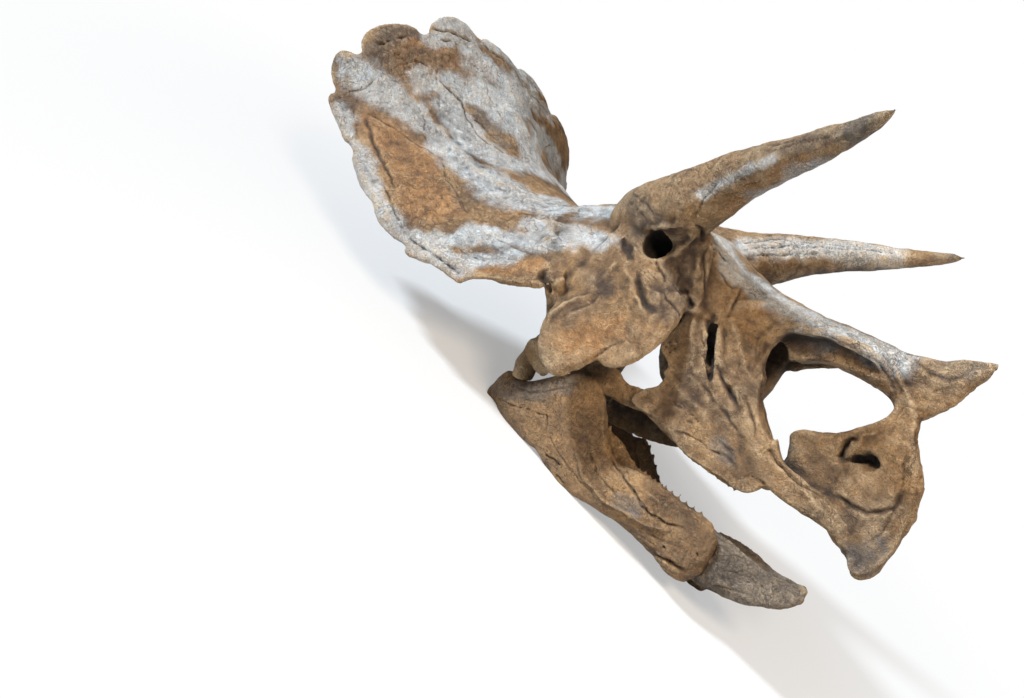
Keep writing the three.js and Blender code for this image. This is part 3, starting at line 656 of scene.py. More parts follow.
def palate():
    """The thin palate bones between the braincase, the quadrates and the upper jaws."""
    roof = limb(1, [
        [320, 0, 112, 56, 18],
        [430, 0, 96, 92, 14],
        [550, 0, 62, 76, 14],
        [650, 0, 22, 60, 18],
        [740, 0, 6, 58, 22],
        [830, 0, -4, 44, 24],
    ])
    keel = limb(1, [
        [352, 0, 100, 34, 14],
        [318, 0, 190, 36, 12],
        [280, 0, 290, 42, 16],
        [250, 0, 360, 46, 24],
    ], flat=(1, 0, 0))
    bones = [roof, keel]
    for side in (-1, 1):
        bones.append(limb(side, [
            [205, 30, 325, 52, 16],
            [120, 90, 292, 52, 13],
            [30, 180, 262, 52, 13],
            [-60, 268, 240, 50, 16],
        ], flat=(0, 0, 1)))
    brace = limb(-1, [
        [10, 216, 62, 30, 12],
        [120, 166, 68, 56, 12],
        [210, 134, 42, 34, 14],
        [300, 128, 52, 34, 20],
    ], flat=(0, 0, 1))
    return [*bones, brace]


def flange():
    """The rear of the left upper jaw, pressed down inside the lower jaw."""
    return limb(1, [
        [20, 112, -84, 36, 14],
        [120, 106, -80, 36, 14],
        [230, 104, -66, 34, 14],
        [330, 106, -42, 34, 16],
        [420, 112, 4, 34, 20],
    ], flat=(0, 0, 1))


def left_inner_edge():
    """The thin inner edge of the left upper jaw, above its pressed-down rear."""
    return limb(1, [
        [49, 108, -35, 26, 9],
        [139, 108, -41, 28, 9],
        [224, 108, -44, 28, 9],
        [306, 108, -51, 20, 9],
    ], flat=(0, 0, 1))


# The side of the upper jaw, with its tall rising process
MAXILLA_OUTLINE = [
    [272, 56], [278, 38], [404, 20], [424, -4], [464, -26], [520, -36], [590, -44], [650, -52],
    [684, -16], [655, 28], [583, 106], [515, 178], [462, 252], [425, 322], [372, 362], [338, 364],
    [322, 350], [310, 290], [290, 246], [292, 214], [328, 186], [334, 150], [322, 114], [294, 92],
]


def maxilla(side):
    """The upper jaw: its side wall and the ledge above the teeth."""
    wall = plate(side, MAXILLA_OUTLINE, 138, 186, toe=0.19, hinge=280)
    ledge = limb(side, [
        [282, 134, 62, 36, 34],
        [400, 122, 36, 42, 44],
        [500, 108, 6, 40, 42],
        [600, 88, -14, 36, 36],
        [660, 74, -22, 28, 24],
    ])
    return [wall, ledge]


def left_nostril_wall():
    """The upper wall of the left nostril."""
    return limb(1, [
        [520, 98, 312, 34, 12],
        [575, 96, 330, 34, 12],
        [630, 92, 356, 30, 12],
        [690, 80, 376, 22, 12],
        [750, 64, 390, 16, 12],
    ], flat=(0, 0, 1))


def nostril_bar(side):
    """The slanting bar behind the nostril, running on below it to the beak."""
    back = LEFT_BAR_BACK if side > 0 else 0
    return limb(side, [
        [452, 118, 435, 62, 28],
        [492, 106, 338, 66, 26],
        [520 - 0.1 * back, 102, 255, 62 - 0.4 * back, 26],
        [575 - 1.3 * back, 98, 172, 56 - 0.4 * back, 26],
        [628 - 1.8 * back, 95, 98 - 0.15 * back, 48 - 0.4 * back, 28],
        [680 - 0.9 * back, 88, 40 - 0.35 * back, 44, 28],
        [740, 74, 16, 42, 28],
        [805, 58, 4, 38, 28],
        [870, 40, -10, 36, 26],
        [925, 20, -44, 28, 18],
    ], flat=(0.6, -0.55, 0.75))


BEAK_OUTLINE = [
    [912, 330], [934, 300], [940, 272], [960, 229], [981, 190], [998, 138], [1009, 80], [1014, 8],
    [1002, -60], [974, -106], [944, -110], [920, -72], [884, -36], [800, -30], [730, -24],
    [690, 20], [690, 84], [684, 110], [674, 138], [686, 160], [702, 168], [738, 178], [778, 196],
    [808, 222], [845, 260], [868, 292], [876, 330],
]


def beak():
    """The plate between the nostrils, and the tip of the upper beak."""
    septum = plate(1, BEAK_OUTLINE, -32, 32)
    tip = limb(1, [
        [908, 0, 262, 40, 36],
        [904, 0, 205, 76, 42],
        [908, 0, 140, 103, 47],
        [911, 0, 70, 112, 50],
        [926, 0, 0, 98, 46],
        [954, 0, -58, 58, 34],
        [960, 0, -98, 34, 20],
        [952, 0, -126, 12, 8],
    ], flat=(1, 0, 0), sides=40)
    return [septum, tip]


NOSTRIL_FOSSA = [
    [560, 262], [545, 310], [552, 350], [572, 384], [622, 402], [668, 412], [716, 410], [762, 404],
    [805, 392], [838, 372], [862, 344], [868, 314], [842, 262], [800, 222], [740, 200], [650, 190],
]
NOSTRIL = [
    [566, 262], [584, 300], [640, 332], [700, 349], [750, 350], [798, 341], [842, 331], [862, 312],
    [842, 266], [800, 224], [770, 200], [700, 176], [664, 150], [660, 110], [628, 130], [590, 180],
]


def hang(side, stations, drop=LEFT_JAW_DROP):
    """The front of the left jaw hangs lower than the right one."""
    s = np.array(stations, float)
    if side > 0:
        s[:, 2] -= drop * smoothstep(s[:, 0], 80, 320)
    return s


def wear(side, stations):
    """The upper edge of the left jaw is worn down."""
    s = np.array(stations, float)
    if side > 0:
        worn = LEFT_JAW_WEAR * smoothstep(s[:, 0], 260, 340)
        s[:, 2] -= worn / 2
        s[:, 4] -= worn / 2
    return s


# The jaw's rising process; the left one is broken down to a low edge
RISING_PROCESS = [
    [68, 226, -100, 46, 134],
    [120, 214, -106, 44, 164],
    [165, 202, -124, 42, 166],
    [195, 196, -144, 40, 152],
    [225, 190, -172, 38, 128],
    [268, 182, -208, 38, 94],
]
BROKEN_PROCESS = [
    [68, 226, -164, 46, 70],
    [120, 214, -202, 44, 68],
    [165, 202, -200, 42, 90],
    [195, 196, -198, 40, 98],
    [225, 190, -228, 38, 72],
    [268, 182, -230, 38, 72],
]


def jaw(side, grow=0.0):
    """One lower jaw: the long dentary with its rising process, the joint end and the tooth bank."""
    body = limb(side, hang(side, wear(side, [
        [-180, 248, -136, 18, 20],
        [-140, 246, -108, 36, 58],
        [-100, 244, -119, 44, 69],
        [-50, 242, -127, 48, 83],
        [10, 236, -114, 48, 110],
        *(RISING_PROCESS if side < 0 else BROKEN_PROCESS),
        [316, 170, -224, 42, 80],
        [368, 154, -224, 44, 84],
        [435, 134, -235, 44, 88],
        [497, 116, -251, 42, 91],
        [556, 100, -267, 40, 104],
        [602, 88, -270, 32, 98],
        [634, 78, -264, 20, 54],
    ])), grow=grow, sides=40, across=(1, 0, 0))
    bank = limb(side, hang(side, [
        [190, 160, -96, 18, 34],
        [280, 142, -130, 20, 38],
        [355, 128, -176, 20, 36],
        [440, 112, -186, 20, 36],
        [520, 96, -198, 18, 36],
        [590, 80, -202, 14, 28],
    ], LEFT_BANK_DROP), grow=grow, across=(1, 0, 0))
    return [body, bank]


def predentary_bones():
    """The scoop of the lower jaw's front bone, and what is cut out of it."""
    roll = (0, 1, -PREDENTARY_ROLL)
    scoop = limb(1, [
        [576, 0, -272, 80, 100],
        [640, 0, -278, 74, 97],
        [706, 0, -282, 58, 80],
        [774, 0, -279, 40, 60],
        [822, 0, -264, 30, 46],
        [858, 0, -240, 16, 28],
        [872, 0, -223, 5, 8],
    ], sides=40, flat=roll)
    trough = limb(1, [
        [550, 30, -170, 92, 60],
        [680, 12, -192, 54, 38],
        [770, 2, -220, 22, 18],
        [840, 0, -222, 6, 6],
    ], flat=roll)
    return [scoop], [trough, *jaw(-1, JOINT_GAP), *jaw(1, JOINT_GAP)]


def teeth(side, line, way, count, half=9.0):
    """A row of leaf-shaped teeth along a line of [x, side, z] points, pointing down, -1, or up, 1."""
    root, high = 14, 26
    return [limb(side, [
        [x, y, z - way * root, half, 9],
        [x, y, z + way * 4, half, 8],
        [x + 1, y, z + way * high * 0.6, half * 0.75, 6],
        [x + 2, y, z + way * high, 2, 2],
    ], sides=10, steps=3, flat=(1, 0, 0)) for x, y, z in spline(line, (np.arange(count) + 0.5) / count)]


# From bones to one carved surface

def mesh_object(name, parts):
    """One object, in metres, of closed parts whose points are in millimetres."""
    points, faces, count = [], [], 0
    for p, f in parts:
        points.append(p)
        faces += [[i + count for i in face] for face in f]
        count += len(p)
    mesh = bpy.data.meshes.new(name)
    mesh.from_pydata((np.vstack(points) / 1000).tolist(), [], faces)
    bm = bmesh.new()
    bm.from_mesh(mesh)
    bmesh.ops.recalc_face_normals(bm, faces=bm.faces)
    bm.to_mesh(mesh)
    bm.free()
    piece = bpy.data.objects.new(name, mesh)
    bpy.context.scene.collection.objects.link(piece)
    return piece


def bake(piece):
    """Apply the piece's modifiers to its mesh."""
    depsgraph = bpy.context.evaluated_depsgraph_get()
    mesh = bpy.data.meshes.new_from_object(piece.evaluated_get(depsgraph))
    old = piece.data
    piece.modifiers.clear()
    piece.data = mesh
    bpy.data.meshes.remove(old)


def remesh(piece, grain):
    """Fuse the piece into one even skin."""
    modifier = piece.modifiers.new("fuse", "REMESH")
    modifier.mode = "VOXEL"
    modifier.voxel_size = grain / 1000
    bake(piece)


def cut(piece, cutters):
    """Take each cutter out of the piece."""
    for number, cutter in enumerate(cutters):
        tool = mesh_object("cutter_%d" % number, [cutter])
        modifier = piece.modifiers.new("cut", "BOOLEAN")
        modifier.operation = "DIFFERENCE"
        modifier.solver = "MANIFOLD"
        modifier.object = tool
        bake(piece)
        bpy.data.objects.remove(tool)


def relax(piece, rounds):
    modifier = piece.modifiers.new("relax", "SMOOTH")
    modifier.factor = 0.5
    modifier.iterations = rounds
    bake(piece)


def get_points(piece):
    """The piece's vertices in millimetres."""
    p = np.empty(3 * len(piece.data.vertices), np.float32)
    piece.data.vertices.foreach_get("co", p)
    return p.reshape(-1, 3).astype(float) * 1000


def set_points(piece, p):
    piece.data.vertices.foreach_set("co", (np.asarray(p) / 1000).astype(np.float32).ravel())
    piece.data.update()


def get_normals(piece):
    n = np.empty(3 * len(piece.data.vertices), np.float32)
    piece.data.vertex_normals.foreach_get("vector", n)
    return n.reshape(-1, 3).astype(float)


def noise(p, scale, seed):
    """Smooth noise from -1 to 1 in space; scale is its grain, or one grain for each axis."""
    cells = 32
    table = np.random.default_rng(seed).random((cells, cells, cells)) * 2 - 1
    q = p / np.asarray(scale, float) + 1000.0
    i = np.floor(q).astype(int)
    f = q - i
    f = f * f * (3 - 2 * f)
    total = 0.0
    for dx in (0, 1):
        for dy in (0, 1):
            for dz in (0, 1):
                weight = (np.where(dx, f[:, 0], 1 - f[:, 0]) * np.where(dy, f[:, 1], 1 - f[:, 1])
                          * np.where(dz, f[:, 2], 1 - f[:, 2]))
                total = total + weight * table[tuple(((i + (dx, dy, dz)) % cells).T)]
    return total


def creases(p, scale, seed):
    """1 along thin wandering lines and 0 between them."""
    return np.clip(1 - np.abs(noise(p, scale, seed)) * 5, 0, 1)


# The camera of the photograph

def camera_axes():
    """The camera's directions right, up and back, in the skull's frame."""
    yaw, tilt, roll = CAMERA_YAW, CAMERA_TILT, CAMERA_ROLL
    back = np.array([np.sin(yaw) * np.cos(tilt), -np.cos(yaw) * np.cos(tilt), np.sin(tilt)])
    right = np.array([np.cos(yaw), np.sin(yaw), 0.0])
    up = np.cross(back, right)
    return (np.cos(roll) * right + np.sin(roll) * up, np.cos(roll) * up - np.sin(roll) * right, back)


def pitch(v):
    """A direction of the skull's frame, pitched nose up."""
    a = np.radians(REST_PITCH)
    v = np.asarray(v, float)
    return np.stack([v[..., 0] * np.cos(a) - v[..., 2] * np.sin(a), v[..., 1],
                     v[..., 0] * np.sin(a) + v[..., 2] * np.cos(a)], -1)


def on_bone(piece_tree, pixels, spacing):
    """Points on the bone behind a line of pixels of the photograph, in the skull's frame."""
    right, up, back = camera_axes()
    pixels = np.asarray(pixels, float)
    found = []
    for a, b in zip(pixels[:-1], pixels[1:]):
        count = max(2, int(np.linalg.norm(b - a) / spacing) + 1)
        for w in np.linspace(0, 1, count, endpoint=False):
            x, y = a + (b - a) * w
            way = (x - IMAGE[0] / 2) / FOCAL_PIXELS * right - (y - IMAGE[1] / 2) / FOCAL_PIXELS * up - back
            hit = piece_tree.ray_cast(Vector(np.array(CAMERA_AT) / 1000), Vector(way).normalized())[0]
            if hit is not None:
                found.append(np.array(hit) * 1000)
    return np.array(found)


def distance_to(p, curve, reach):
    """Each point's distance to a line of points, or a large number beyond reach.

    The line is broken where its points jump from one bone to another.
    """
    jump, spacing = 60, 4
    points_at_once, line_points_at_once = 20000, 64
    out = np.full(len(p), 1e6)
    near = ((p > curve.min(0) - reach) & (p < curve.max(0) + reach)).all(1)
    index = np.nonzero(near)[0]
    steps = [curve[:1]]
    for a, b in zip(curve[:-1], curve[1:]):
        length = np.linalg.norm(b - a)
        if length < jump:
            count = max(1, int(length / spacing))
            steps.append(a + (b - a) * (np.arange(1, count + 1) / count)[:, None])
    dense = np.vstack(steps)
    for start in range(0, len(index), points_at_once):
        part = index[start:start + points_at_once]
        gap = np.full(len(part), 1e12)
        for block in range(0, len(dense), line_points_at_once):
            d = ((p[part][:, None] - dense[None, block:block + line_points_at_once]) ** 2).sum(-1).min(1)
            gap = np.minimum(gap, d)
        out[part] = np.sqrt(gap)
    return out


def tree_of(piece):
    mesh = piece.data
    return BVHTree.FromPolygons([v.co for v in mesh.vertices], [f.vertices for f in mesh.polygons])


def traces(tree, pixels, mirrored, spacing=4.0):
    """A traced line on the bone, and its mirror image where that is wanted too."""
    curve = on_bone(tree, pixels, spacing)
    if len(curve) == 0:
        return []
    return [curve, curve * (1, -1, 1)] if mirrored else [curve]


def carved_depth(p, tree, lines, mirrored):
    """How deep each point is carved by lines traced over the photograph."""
    depth = np.zeros(len(p))
    strayed = p + LINE_WANDER * np.stack([noise(p, WANDER_GRAIN, 60 + axis) for axis in range(3)], 1)
    uneven = 1 + 0.45 * noise(p, 16, 63)
    for pixels, half_width, deep in lines:
        broad = half_width * (LINE_BREADTH if 0 < deep < DEEP else WIDE_BREADTH)
        for line in traces(tree, pixels, mirrored):
            gap = distance_to(strayed, line, 3 * half_width)
            cut_in = deep * np.exp(-(gap / (broad * uneven)) ** 2)
            if np.linalg.norm(line[-1] - line[0]) > LONG_LINE:
                end = np.minimum(np.linalg.norm(p - line[0], axis=1), np.linalg.norm(p - line[-1], axis=1))
                cut_in *= 0.3 + 0.7 * smoothstep(end, 0, LINE_TAPER)
            depth += cut_in
    return depth


def stain_masks(p, tree, mirrored):
    """How strongly each stain covers each point."""
    masks = {name: np.zeros(len(p)) for name in STAINS}
    blot = 1 + 0.5 * noise(p, 60, 71) + 0.35 * noise(p, 24, 72)
    solid, gone, reach = 0.55, 1.35, 2.2
    for name, lines in STAINS.items():
        for pixels, half_width in lines:
            for line in traces(tree, pixels, mirrored, 8):
                gap = distance_to(p, line, reach * half_width) / blot
                cover = 1 - smoothstep(gap, solid * half_width, gone * half_width)
                masks[name] = np.maximum(masks[name], cover)
    return masks


def neighbour_average(piece, values, rounds):
    """Columns of values at the vertices, averaged over each vertex's neighbours a few times."""
    mesh = piece.data
    edges = np.empty(2 * len(mesh.edges), np.int32)
    mesh.edges.foreach_get("vertices", edges)
    a, b = edges.reshape(-1, 2).T
    count = len(mesh.vertices)
    degree = np.maximum(np.bincount(a, minlength=count) + np.bincount(b, minlength=count), 1)[:, None]
    for _ in range(rounds):
        values = np.stack([np.bincount(a, column[b], count) + np.bincount(b, column[a], count)
                           for column in values.T], 1) / degree
    return values


def hollowness(piece, rounds):
    """How far each vertex lies below its smoothed surroundings, in millimetres."""
    p = get_points(piece)
    return ((neighbour_average(piece, p, rounds) - p) * get_normals(piece)).sum(1)


def openness(piece):
    """The share of short rays from each vertex that meet no other bone."""
    tree = tree_of(piece)
    p, n = get_points(piece) / 1000, get_normals(piece)
    free = np.zeros((len(p), 1))
    for way in unit(np.random.default_rng(OPEN_SEED).normal(size=(OPEN_RAYS, 3))):
        towards = unit(n + OPEN_SPREAD * way)
        for i, (start, ray) in enumerate(zip((p + OPEN_START * n).tolist(), towards.tolist())):
            if tree.ray_cast(start, ray, OPEN_REACH)[0] is None:
                free[i, 0] += 1 / OPEN_RAYS
    return neighbour_average(piece, free, 3)[:, 0]


def paint(piece, tree, carved, mirrored):
    """Store the stains, the dirt in hollows, the wear on edges and the painted shade of recesses with the
    piece's vertices.
    """
    p = get_points(piece)
    masks = stain_masks(p, tree, mirrored)
    fine, broad = hollowness(piece, 3), hollowness(piece, 14)
    dirt = np.clip(DIRT_FINE * fine + DIRT_BROAD * broad + DIRT_CARVED * np.maximum(carved, 0), 0, 1)
    wear = np.clip(-WEAR_FINE * fine - WEAR_BROAD * broad, 0, 1)
    # Painted shade: how shut in by bone each vertex is
    recess = 1 - openness(piece)
    relief = [dirt, wear, recess, np.zeros(len(p))]
    for name, values in (("stain", list(masks.values())), ("relief", relief)):
        layer = piece.data.attributes.new(name, "FLOAT_COLOR", "POINT")
        layer.data.foreach_set("color", np.stack(values, 1).astype(np.float32).ravel())


def thin(piece, triangles):
    """Bring the piece down to this many triangles."""
    count = sum(len(f.vertices) - 2 for f in piece.data.polygons)
    if count > triangles:
        modifier = piece.modifiers.new("thin", "DECIMATE")
        modifier.ratio = triangles / count
        bake(piece)


def finish_piece(piece, node):
    """Pitch the piece, set it down and put it in place of its solid."""
    p = pitch(get_points(piece)) + JAW_JOINT
    p[:, 2] = np.maximum(p[:, 2], 0)
    set_points(piece, p)
    piece.data.shade_smooth()
    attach(piece, "root")
    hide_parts(node)


def weathering(p, seed):
    """The height of the bone's weathered relief."""
    broken = np.clip(0.6 + 1.2 * noise(p, 130, seed + 9), 0, 1.5)
    fibres = creases(p, (120, 17, 17), seed + 3) + creases(p, (26, 22, 110), seed + 4)
    return (2.8 * noise(p, 100, seed) + 2.1 * noise(p, 42, seed + 1) + 1.7 * noise(p, 20, seed + 2)
            + 0.5 * noise(p, 11, seed + 5) - 1.1 * broken * fibres)


def carve(piece, lines, seed, triangles, mirrored, rough=1.0):
    """Carve the traced lines and the weathering, thin the mesh and store its stains."""
    tree = tree_of(piece)
    p, n = get_points(piece), get_normals(piece)
    raised = rough * weathering(p, seed) - carved_depth(p, tree, lines, mirrored)
    set_points(piece, p + n * raised[:, None])
    thin(piece, triangles)
    paint(piece, tree, carved_depth(get_points(piece), tree, lines, mirrored), mirrored)


def make_cranium():
    parts = [frill(), *frill_edge(), nose(), *braincase(), *palate(), quadratojugal(), flange(),
             left_inner_edge(), left_nostril_wall(), *beak()]
    for side in (-1, 1):
        # The last one is the thin bone at the bottom of the hollow behind the cheek
        parts += [brow_horn(side), cheek(side), eye_rim(side), lacrimal(side), quadrate(side),
                  *maxilla(side), nostril_bar(side), oval(side, [42, 318, 297], [70, 20, 54])]
        parts += teeth(side, [[440, 128, -4], [500, 118, -22], [560, 106, -34], [630, 92, -44]], -1, 12)
    piece = mesh_object("carved_cranium", parts)
    remesh(piece, CRANIUM_GRAIN)
    cutters = [oval(1, [520, 0, 300], [104, 72, 96]), plate(1, NOSTRIL, -150, 150)]
    for side in (-1, 1):
        cutters += [
            oval(side, [ORBIT["x"], ORBIT["side"] + 20, ORBIT["z"]],
                 [ORBIT_SHARE * ORBIT["wide"], ORBIT["deep"], ORBIT_SHARE * ORBIT["high"]]),
            plate(side, NOSTRIL_FOSSA, 50 if side < 0 else 112, 140),
            limb(side, [[404, 168, 335, 9, 34], [424, 164, 262, 12, 36], [452, 158, 190, 8, 30]],
                 flat=(1, 0, 0)),
            oval(side, [862, 62, 166], [46, 44, 30]),
        ]
    cut(piece, cutters)
    remesh(piece, CRANIUM_GRAIN)
    relax(piece, 6)
    carve(piece, FRILL_LINES_CARVED + FACE_LINES_CARVED + SNOUT_LINES_CARVED + MAXILLA_LINES_CARVED,
          CRANIUM_SEED, CRANIUM_TRIANGLES, True)
    return piece


def make_jaw(side, name):
    row = hang(side, [[215, 158, -78], [355, 128, -156], [450, 110, -164], [575, 84, -184]], LEFT_BANK_DROP)
    piece = mesh_object(name, [*jaw(side), *teeth(side, row, 1, 16, half=8)])
    remesh(piece, JAW_GRAIN)
    cut(piece, [quadrate(side, JOINT_GAP)])
    remesh(piece, JAW_GRAIN)
    relax(piece, 5)
    lines, seed = (JAW_LINES_CARVED, RIGHT_JAW_SEED) if side < 0 else ([], LEFT_JAW_SEED)
    carve(piece, lines, seed, JAW_TRIANGLES, False)
    return piece


def make_predentary():
    scoop, cutters = predentary_bones()
    piece = mesh_object("carved_predentary", scoop)
    remesh(piece, JAW_GRAIN)
    cut(piece, cutters)
    remesh(piece, JAW_GRAIN)
    relax(piece, 4)
    carve(piece, PREDENTARY_LINES_CARVED, PREDENTARY_SEED, JAW_TRIANGLES, True, rough=1.5)
    return piece


cranium = make_cranium()
right_jaw = make_jaw(-1, "carved_right_jaw")
left_jaw = make_jaw(1, "carved_left_jaw")
predentary = make_predentary()


# Materials

def feed(tree, socket, value):
    """Give a node's input a number, a colour or another node's output."""
    if isinstance(value, bpy.types.NodeSocket):
        tree.links.new(value, socket)
    elif isinstance(value, tuple):
        socket.default_value = (*value, 1)  # a colour
    else:
        socket.default_value = value


def add_node(tree, kind, **inputs):
    """A shader node with some of its inputs fed."""
    node = tree.nodes.new("ShaderNode" + kind)
    for name, value in inputs.items():
        feed(tree, node.inputs[name.replace("_", " ")], value)
    return node


def mix_shaders(tree, factor, first, second):
    """The first shader where factor is 0, the second where it is 1."""
    node = add_node(tree, "MixShader")
    for socket, source in zip(node.inputs, (factor, first.outputs[0], second.outputs[0])):
        tree.links.new(source, socket)
    return node.outputs[0]


def bone_material(name, gold, light, dark):
    """Mineralised bone: mottled brown, stained, dirty in its hollows, worn pale on its edges, with painted
    shade in its recesses and painted highlight and shade among its stains.
    """
    material = bpy.data.materials.new(name)
    material.use_nodes = True
    tree = material.node_tree
    tree.nodes.clear()
    place = add_node(tree, "TexCoord").outputs["Object"]

    def noise_texture(scale, detail=7.0, roughness=0.65, warp=0.0):
        return add_node(tree, "TexNoise", Vector=place, Scale=scale, Detail=detail, Roughness=roughness,
                        Distortion=warp).outputs["Fac"]

    def ramp(source, low, high, dim=0.0, bright=1.0):
        return add_node(tree, "MapRange", Value=source, From_Min=low, From_Max=high, To_Min=dim,
                        To_Max=bright).outputs["Result"]

    def calculate(operation, a, b):
        node = add_node(tree, "Math")
        node.operation = operation
        node.use_clamp = True
        feed(tree, node.inputs[0], a)
        feed(tree, node.inputs[1], b)
        return node.outputs[0]

    def times(a, b):
        return calculate("MULTIPLY", a, b)

    def mix(factor, a, b):
        node = add_node(tree, "Mix")
        node.data_type = "RGBA"
        for number, value in ((0, factor), (6, a), (7, b)):
            feed(tree, node.inputs[number], value)
        return node.outputs[2]

    def along_middle(source, half):
        """1 where a noise crosses its middle value and 0 away from there: thin wandering lines."""
        return times(ramp(source, 0.5 - half, 0.5), ramp(source, 0.5, 0.5 + half, 1.0, 0.0))

    def stored(attribute, channels):
        node = add_node(tree, "Attribute")
        node.attribute_name = attribute
        split = add_node(tree, "SeparateColor", Color=node.outputs["Color"])
        return [*split.outputs[:3], node.outputs["Alpha"]][:channels]

    pale, ochre, umber_and_shade, grey = stored("stain", 4)
    dirt, wear, recess = stored("relief", 3)
    speckle = ramp(noise_texture(34.0, 9.0, 0.72), 0.36, 0.64)
    brush = ramp(noise_texture(13.0, 8.0, 0.7, 0.6), 0.4, 0.62)
    colour = mix(ramp(noise_texture(5.0, 6.0, 0.62), 0.36, 0.6), dark, light)
    colour = mix(ramp(noise_texture(8.0, 7.0, 0.6), 0.5, 0.68, 0.0, 0.75), colour, gold)
    colour = mix(times(ochre, ramp(speckle, 0.0, 1.0, 0.65, 1.0)), colour, OCHRE)
    # Dark brown stains, partly painted shade in shadowed hollows
    colour = mix(times(umber_and_shade, ramp(speckle, 0.0, 1.0, 0.95, 0.5)), colour, UMBER_AND_SHADE)
    colour = mix(times(grey, ramp(brush, 0.0, 1.0, 0.75, 0.35)), colour, GREY)
    colour = mix(ramp(noise_texture(60.0, 6.0, 0.7), 0.35, 0.6, 0.5, 0.0), colour, SPECKLE)
    # Pale dusty coating, and a painted cool highlight on the tops that face the key light
    dust_and_highlight = times(times(pale, ramp(brush, 0.0, 1.0, 0.6, 1.0)), ramp(speckle, 0.0, 1.0, 0.66, 1.0))
    colour = mix(dust_and_highlight, colour, DUST_AND_HIGHLIGHT)
    colour = mix(times(wear, ramp(brush, 0.0, 1.0, 0.3, 0.9)), colour, WORN_EDGE)
    fine_pits = ramp(noise_texture(150.0, 4.0, 0.7), 0.3, 0.44, 0.7, 0.0)
    cracks = along_middle(noise_texture(16.0, 5.0, 0.55, 1.4), 0.018)
    cracks = times(cracks, ramp(noise_texture(3.4, 3.0), 0.47, 0.6, 0.0, 0.8))
    wrinkles = along_middle(noise_texture(52.0, 6.0, 0.6, 1.8), 0.08)
    wrinkles = times(wrinkles, ramp(noise_texture(9.0, 4.0), 0.35, 0.65, 0.25, 1.0))
    colour = mix(times(wrinkles, 0.42), colour, WRINKLE)
    grime = calculate("MAXIMUM", times(dirt, 0.92), calculate("MAXIMUM", fine_pits, cracks))
    colour = mix(grime, colour, GRIME)
    # Painted shade: recesses that few rays leave are darkened towards near black
    colour = mix(ramp(recess, 0.3, 0.85, 0.0, 0.93), colour, DEEP_SHADE)

    height = calculate("ADD", times(noise_texture(38.0, 9.0, 0.72, 1.1), 0.6),
                       times(noise_texture(130.0, 5.0, 0.7), 0.3))
    height = calculate("SUBTRACT", height, times(cracks, 0.15))
    height = calculate("SUBTRACT", height, times(wrinkles, 0.16))
    bump = add_node(tree, "Bump", Strength=1.0, Distance=0.022, Height=height)
    shader = add_node(tree, "BsdfPrincipled", Base_Color=colour, Roughness=0.68,
                      Normal=bump.outputs["Normal"])
    add_node(tree, "OutputMaterial", Surface=shader.outputs["BSDF"])
    return material


bone = bone_material("fossil_bone", *BONE)
grey_bone = bone_material("grey_fossil_bone", *GREY_BONE)
for piece, node, slot, look in (
        (cranium, "cranium", "bone", bone),
        (right_jaw, "right_lower_jaw", "jaw_bone", bone),
        (left_jaw, "left_lower_jaw", "jaw_bone", bone),
        (predentary, "predentary", "grey_bone", grey_bone)):
    piece.data.materials.clear()
    piece.data.materials.append(look)
    finish_piece(piece, node)


# Floor, light and camera

def floor_material():
    """A pale floor that brightens to plain white with distance, so that no horizon shows."""
    material = bpy.data.materials.new("pale_floor")
    material.use_nodes = True
    tree = material.node_tree
    near = tree.nodes["Principled BSDF"]
    near.inputs["Base Color"].default_value = (*FLOOR_COLOUR, 1)
    near.inputs["Roughness"].default_value = 0.9
    far = add_node(tree, "Emission", Color=WHITE, Strength=1.0)
    distance = add_node(tree, "VectorMath")
    distance.operation = "LENGTH"
    feed(tree, distance.inputs[0], add_node(tree, "TexCoord").outputs["Object"])
    fade = add_node(tree, "MapRange", Value=distance.outputs["Value"], From_Min=0.0,
                    From_Max=FLOOR_WHITE_FROM, To_Min=FLOOR_WHITE_NEAR, To_Max=1.0)
    fade.interpolation_type = "SMOOTHSTEP"
    seen = add_node(tree, "Math")
    seen.operation = "MULTIPLY"
    feed(tree, seen.inputs[0], fade.outputs["Result"])
    feed(tree, seen.inputs[1], add_node(tree, "LightPath").outputs["Is Camera Ray"])
    feed(tree, tree.nodes["Material Output"].inputs["Surface"], mix_shaders(tree, seen.outputs[0], near, far))
    return material


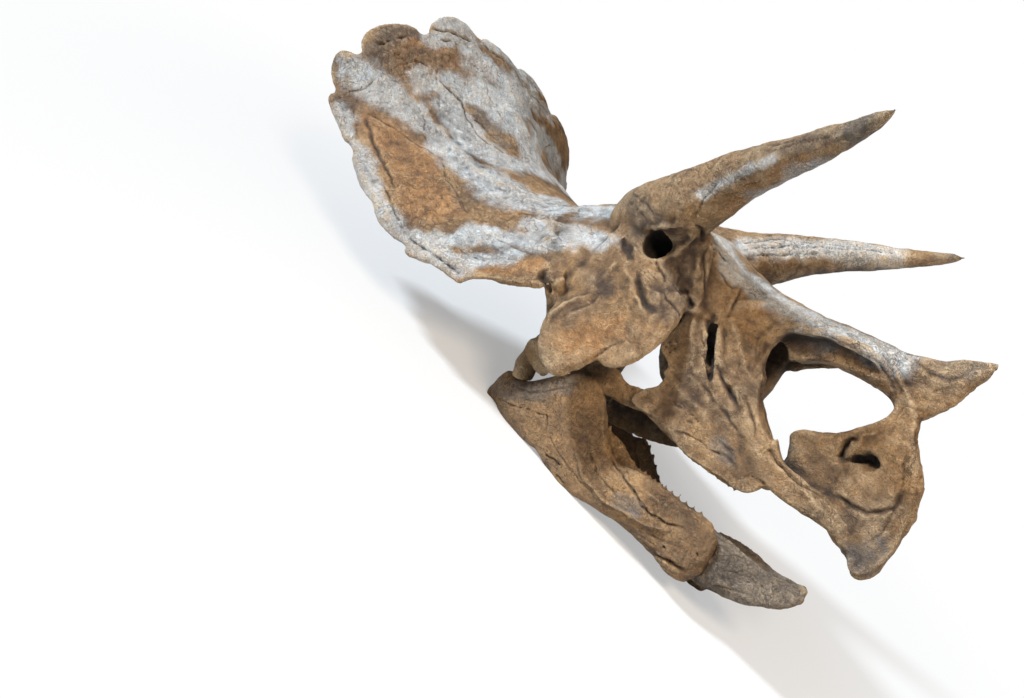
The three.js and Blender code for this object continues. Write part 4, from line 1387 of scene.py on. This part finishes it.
floor_mesh = bpy.data.meshes.new("floor")
floor_corners = [(x * FLOOR_HALF, y * FLOOR_HALF, 0) for x, y in ((-1, -1), (1, -1), (1, 1), (-1, 1))]
floor_mesh.from_pydata(floor_corners, [], [(0, 1, 2, 3)])
floor_mesh.materials.append(floor_material())
floor = bpy.data.objects.new("floor", floor_mesh)
bpy.context.scene.collection.objects.link(floor)


def add_light(name, kind, energy, colour, towards, at=(0, 0, 0)):
    """A lamp whose light comes from the direction towards."""
    data = bpy.data.lights.new(name, kind)
    data.energy = energy
    data.color = colour
    lamp = bpy.data.objects.new(name, data)
    lamp.location = at
    lamp.rotation_euler = Vector(towards).to_track_quat("Z", "Y").to_euler()
    bpy.context.scene.collection.objects.link(lamp)
    return data


right, up, back = (pitch(v) for v in camera_axes())
key = add_light("cool_key", "SUN", 6.0, KEY_LIGHT, 0.90 * up - 0.34 * right + 0.26 * back)
key.angle = 0.12
from_fill = 1.2 * right + 0.9 * up + 3.4 * back
warm = add_light("warm_fill", "AREA", 130, FILL_LIGHT, from_fill, tuple(from_fill + SKULL_MIDDLE))
warm.shape = "DISK"
warm.size = 1.2

# The surroundings show as plain white, and light the skull more softly than that
world = bpy.data.worlds.new("studio")
world.use_nodes = True
sky = world.node_tree
shown = sky.nodes["Background"]
shown.inputs["Strength"].default_value = 1.0
shown.inputs["Color"].default_value = (*WHITE, 1)
soft = add_node(sky, "Background", Color=SKY_LIGHT, Strength=0.2)
camera_ray = add_node(sky, "LightPath").outputs["Is Camera Ray"]
feed(sky, sky.nodes["World Output"].inputs["Surface"], mix_shaders(sky, camera_ray, soft, shown))
bpy.context.scene.world = world

camera_data = bpy.data.cameras.new("camera")
camera_data.sensor_width = SENSOR_WIDTH
camera_data.lens = SENSOR_WIDTH * FOCAL_PIXELS / IMAGE[0]
camera_data.clip_end = 200
camera = bpy.data.objects.new("camera", camera_data)
place = (pitch(np.array(CAMERA_AT)) + JAW_JOINT) / 1000
camera.matrix_world = Matrix([[right[i], up[i], back[i], place[i]] for i in range(3)] + [[0, 0, 0, 1]])
bpy.context.scene.collection.objects.link(camera)
bpy.context.scene.camera = camera
bpy.context.scene.view_settings.view_transform = "Standard"
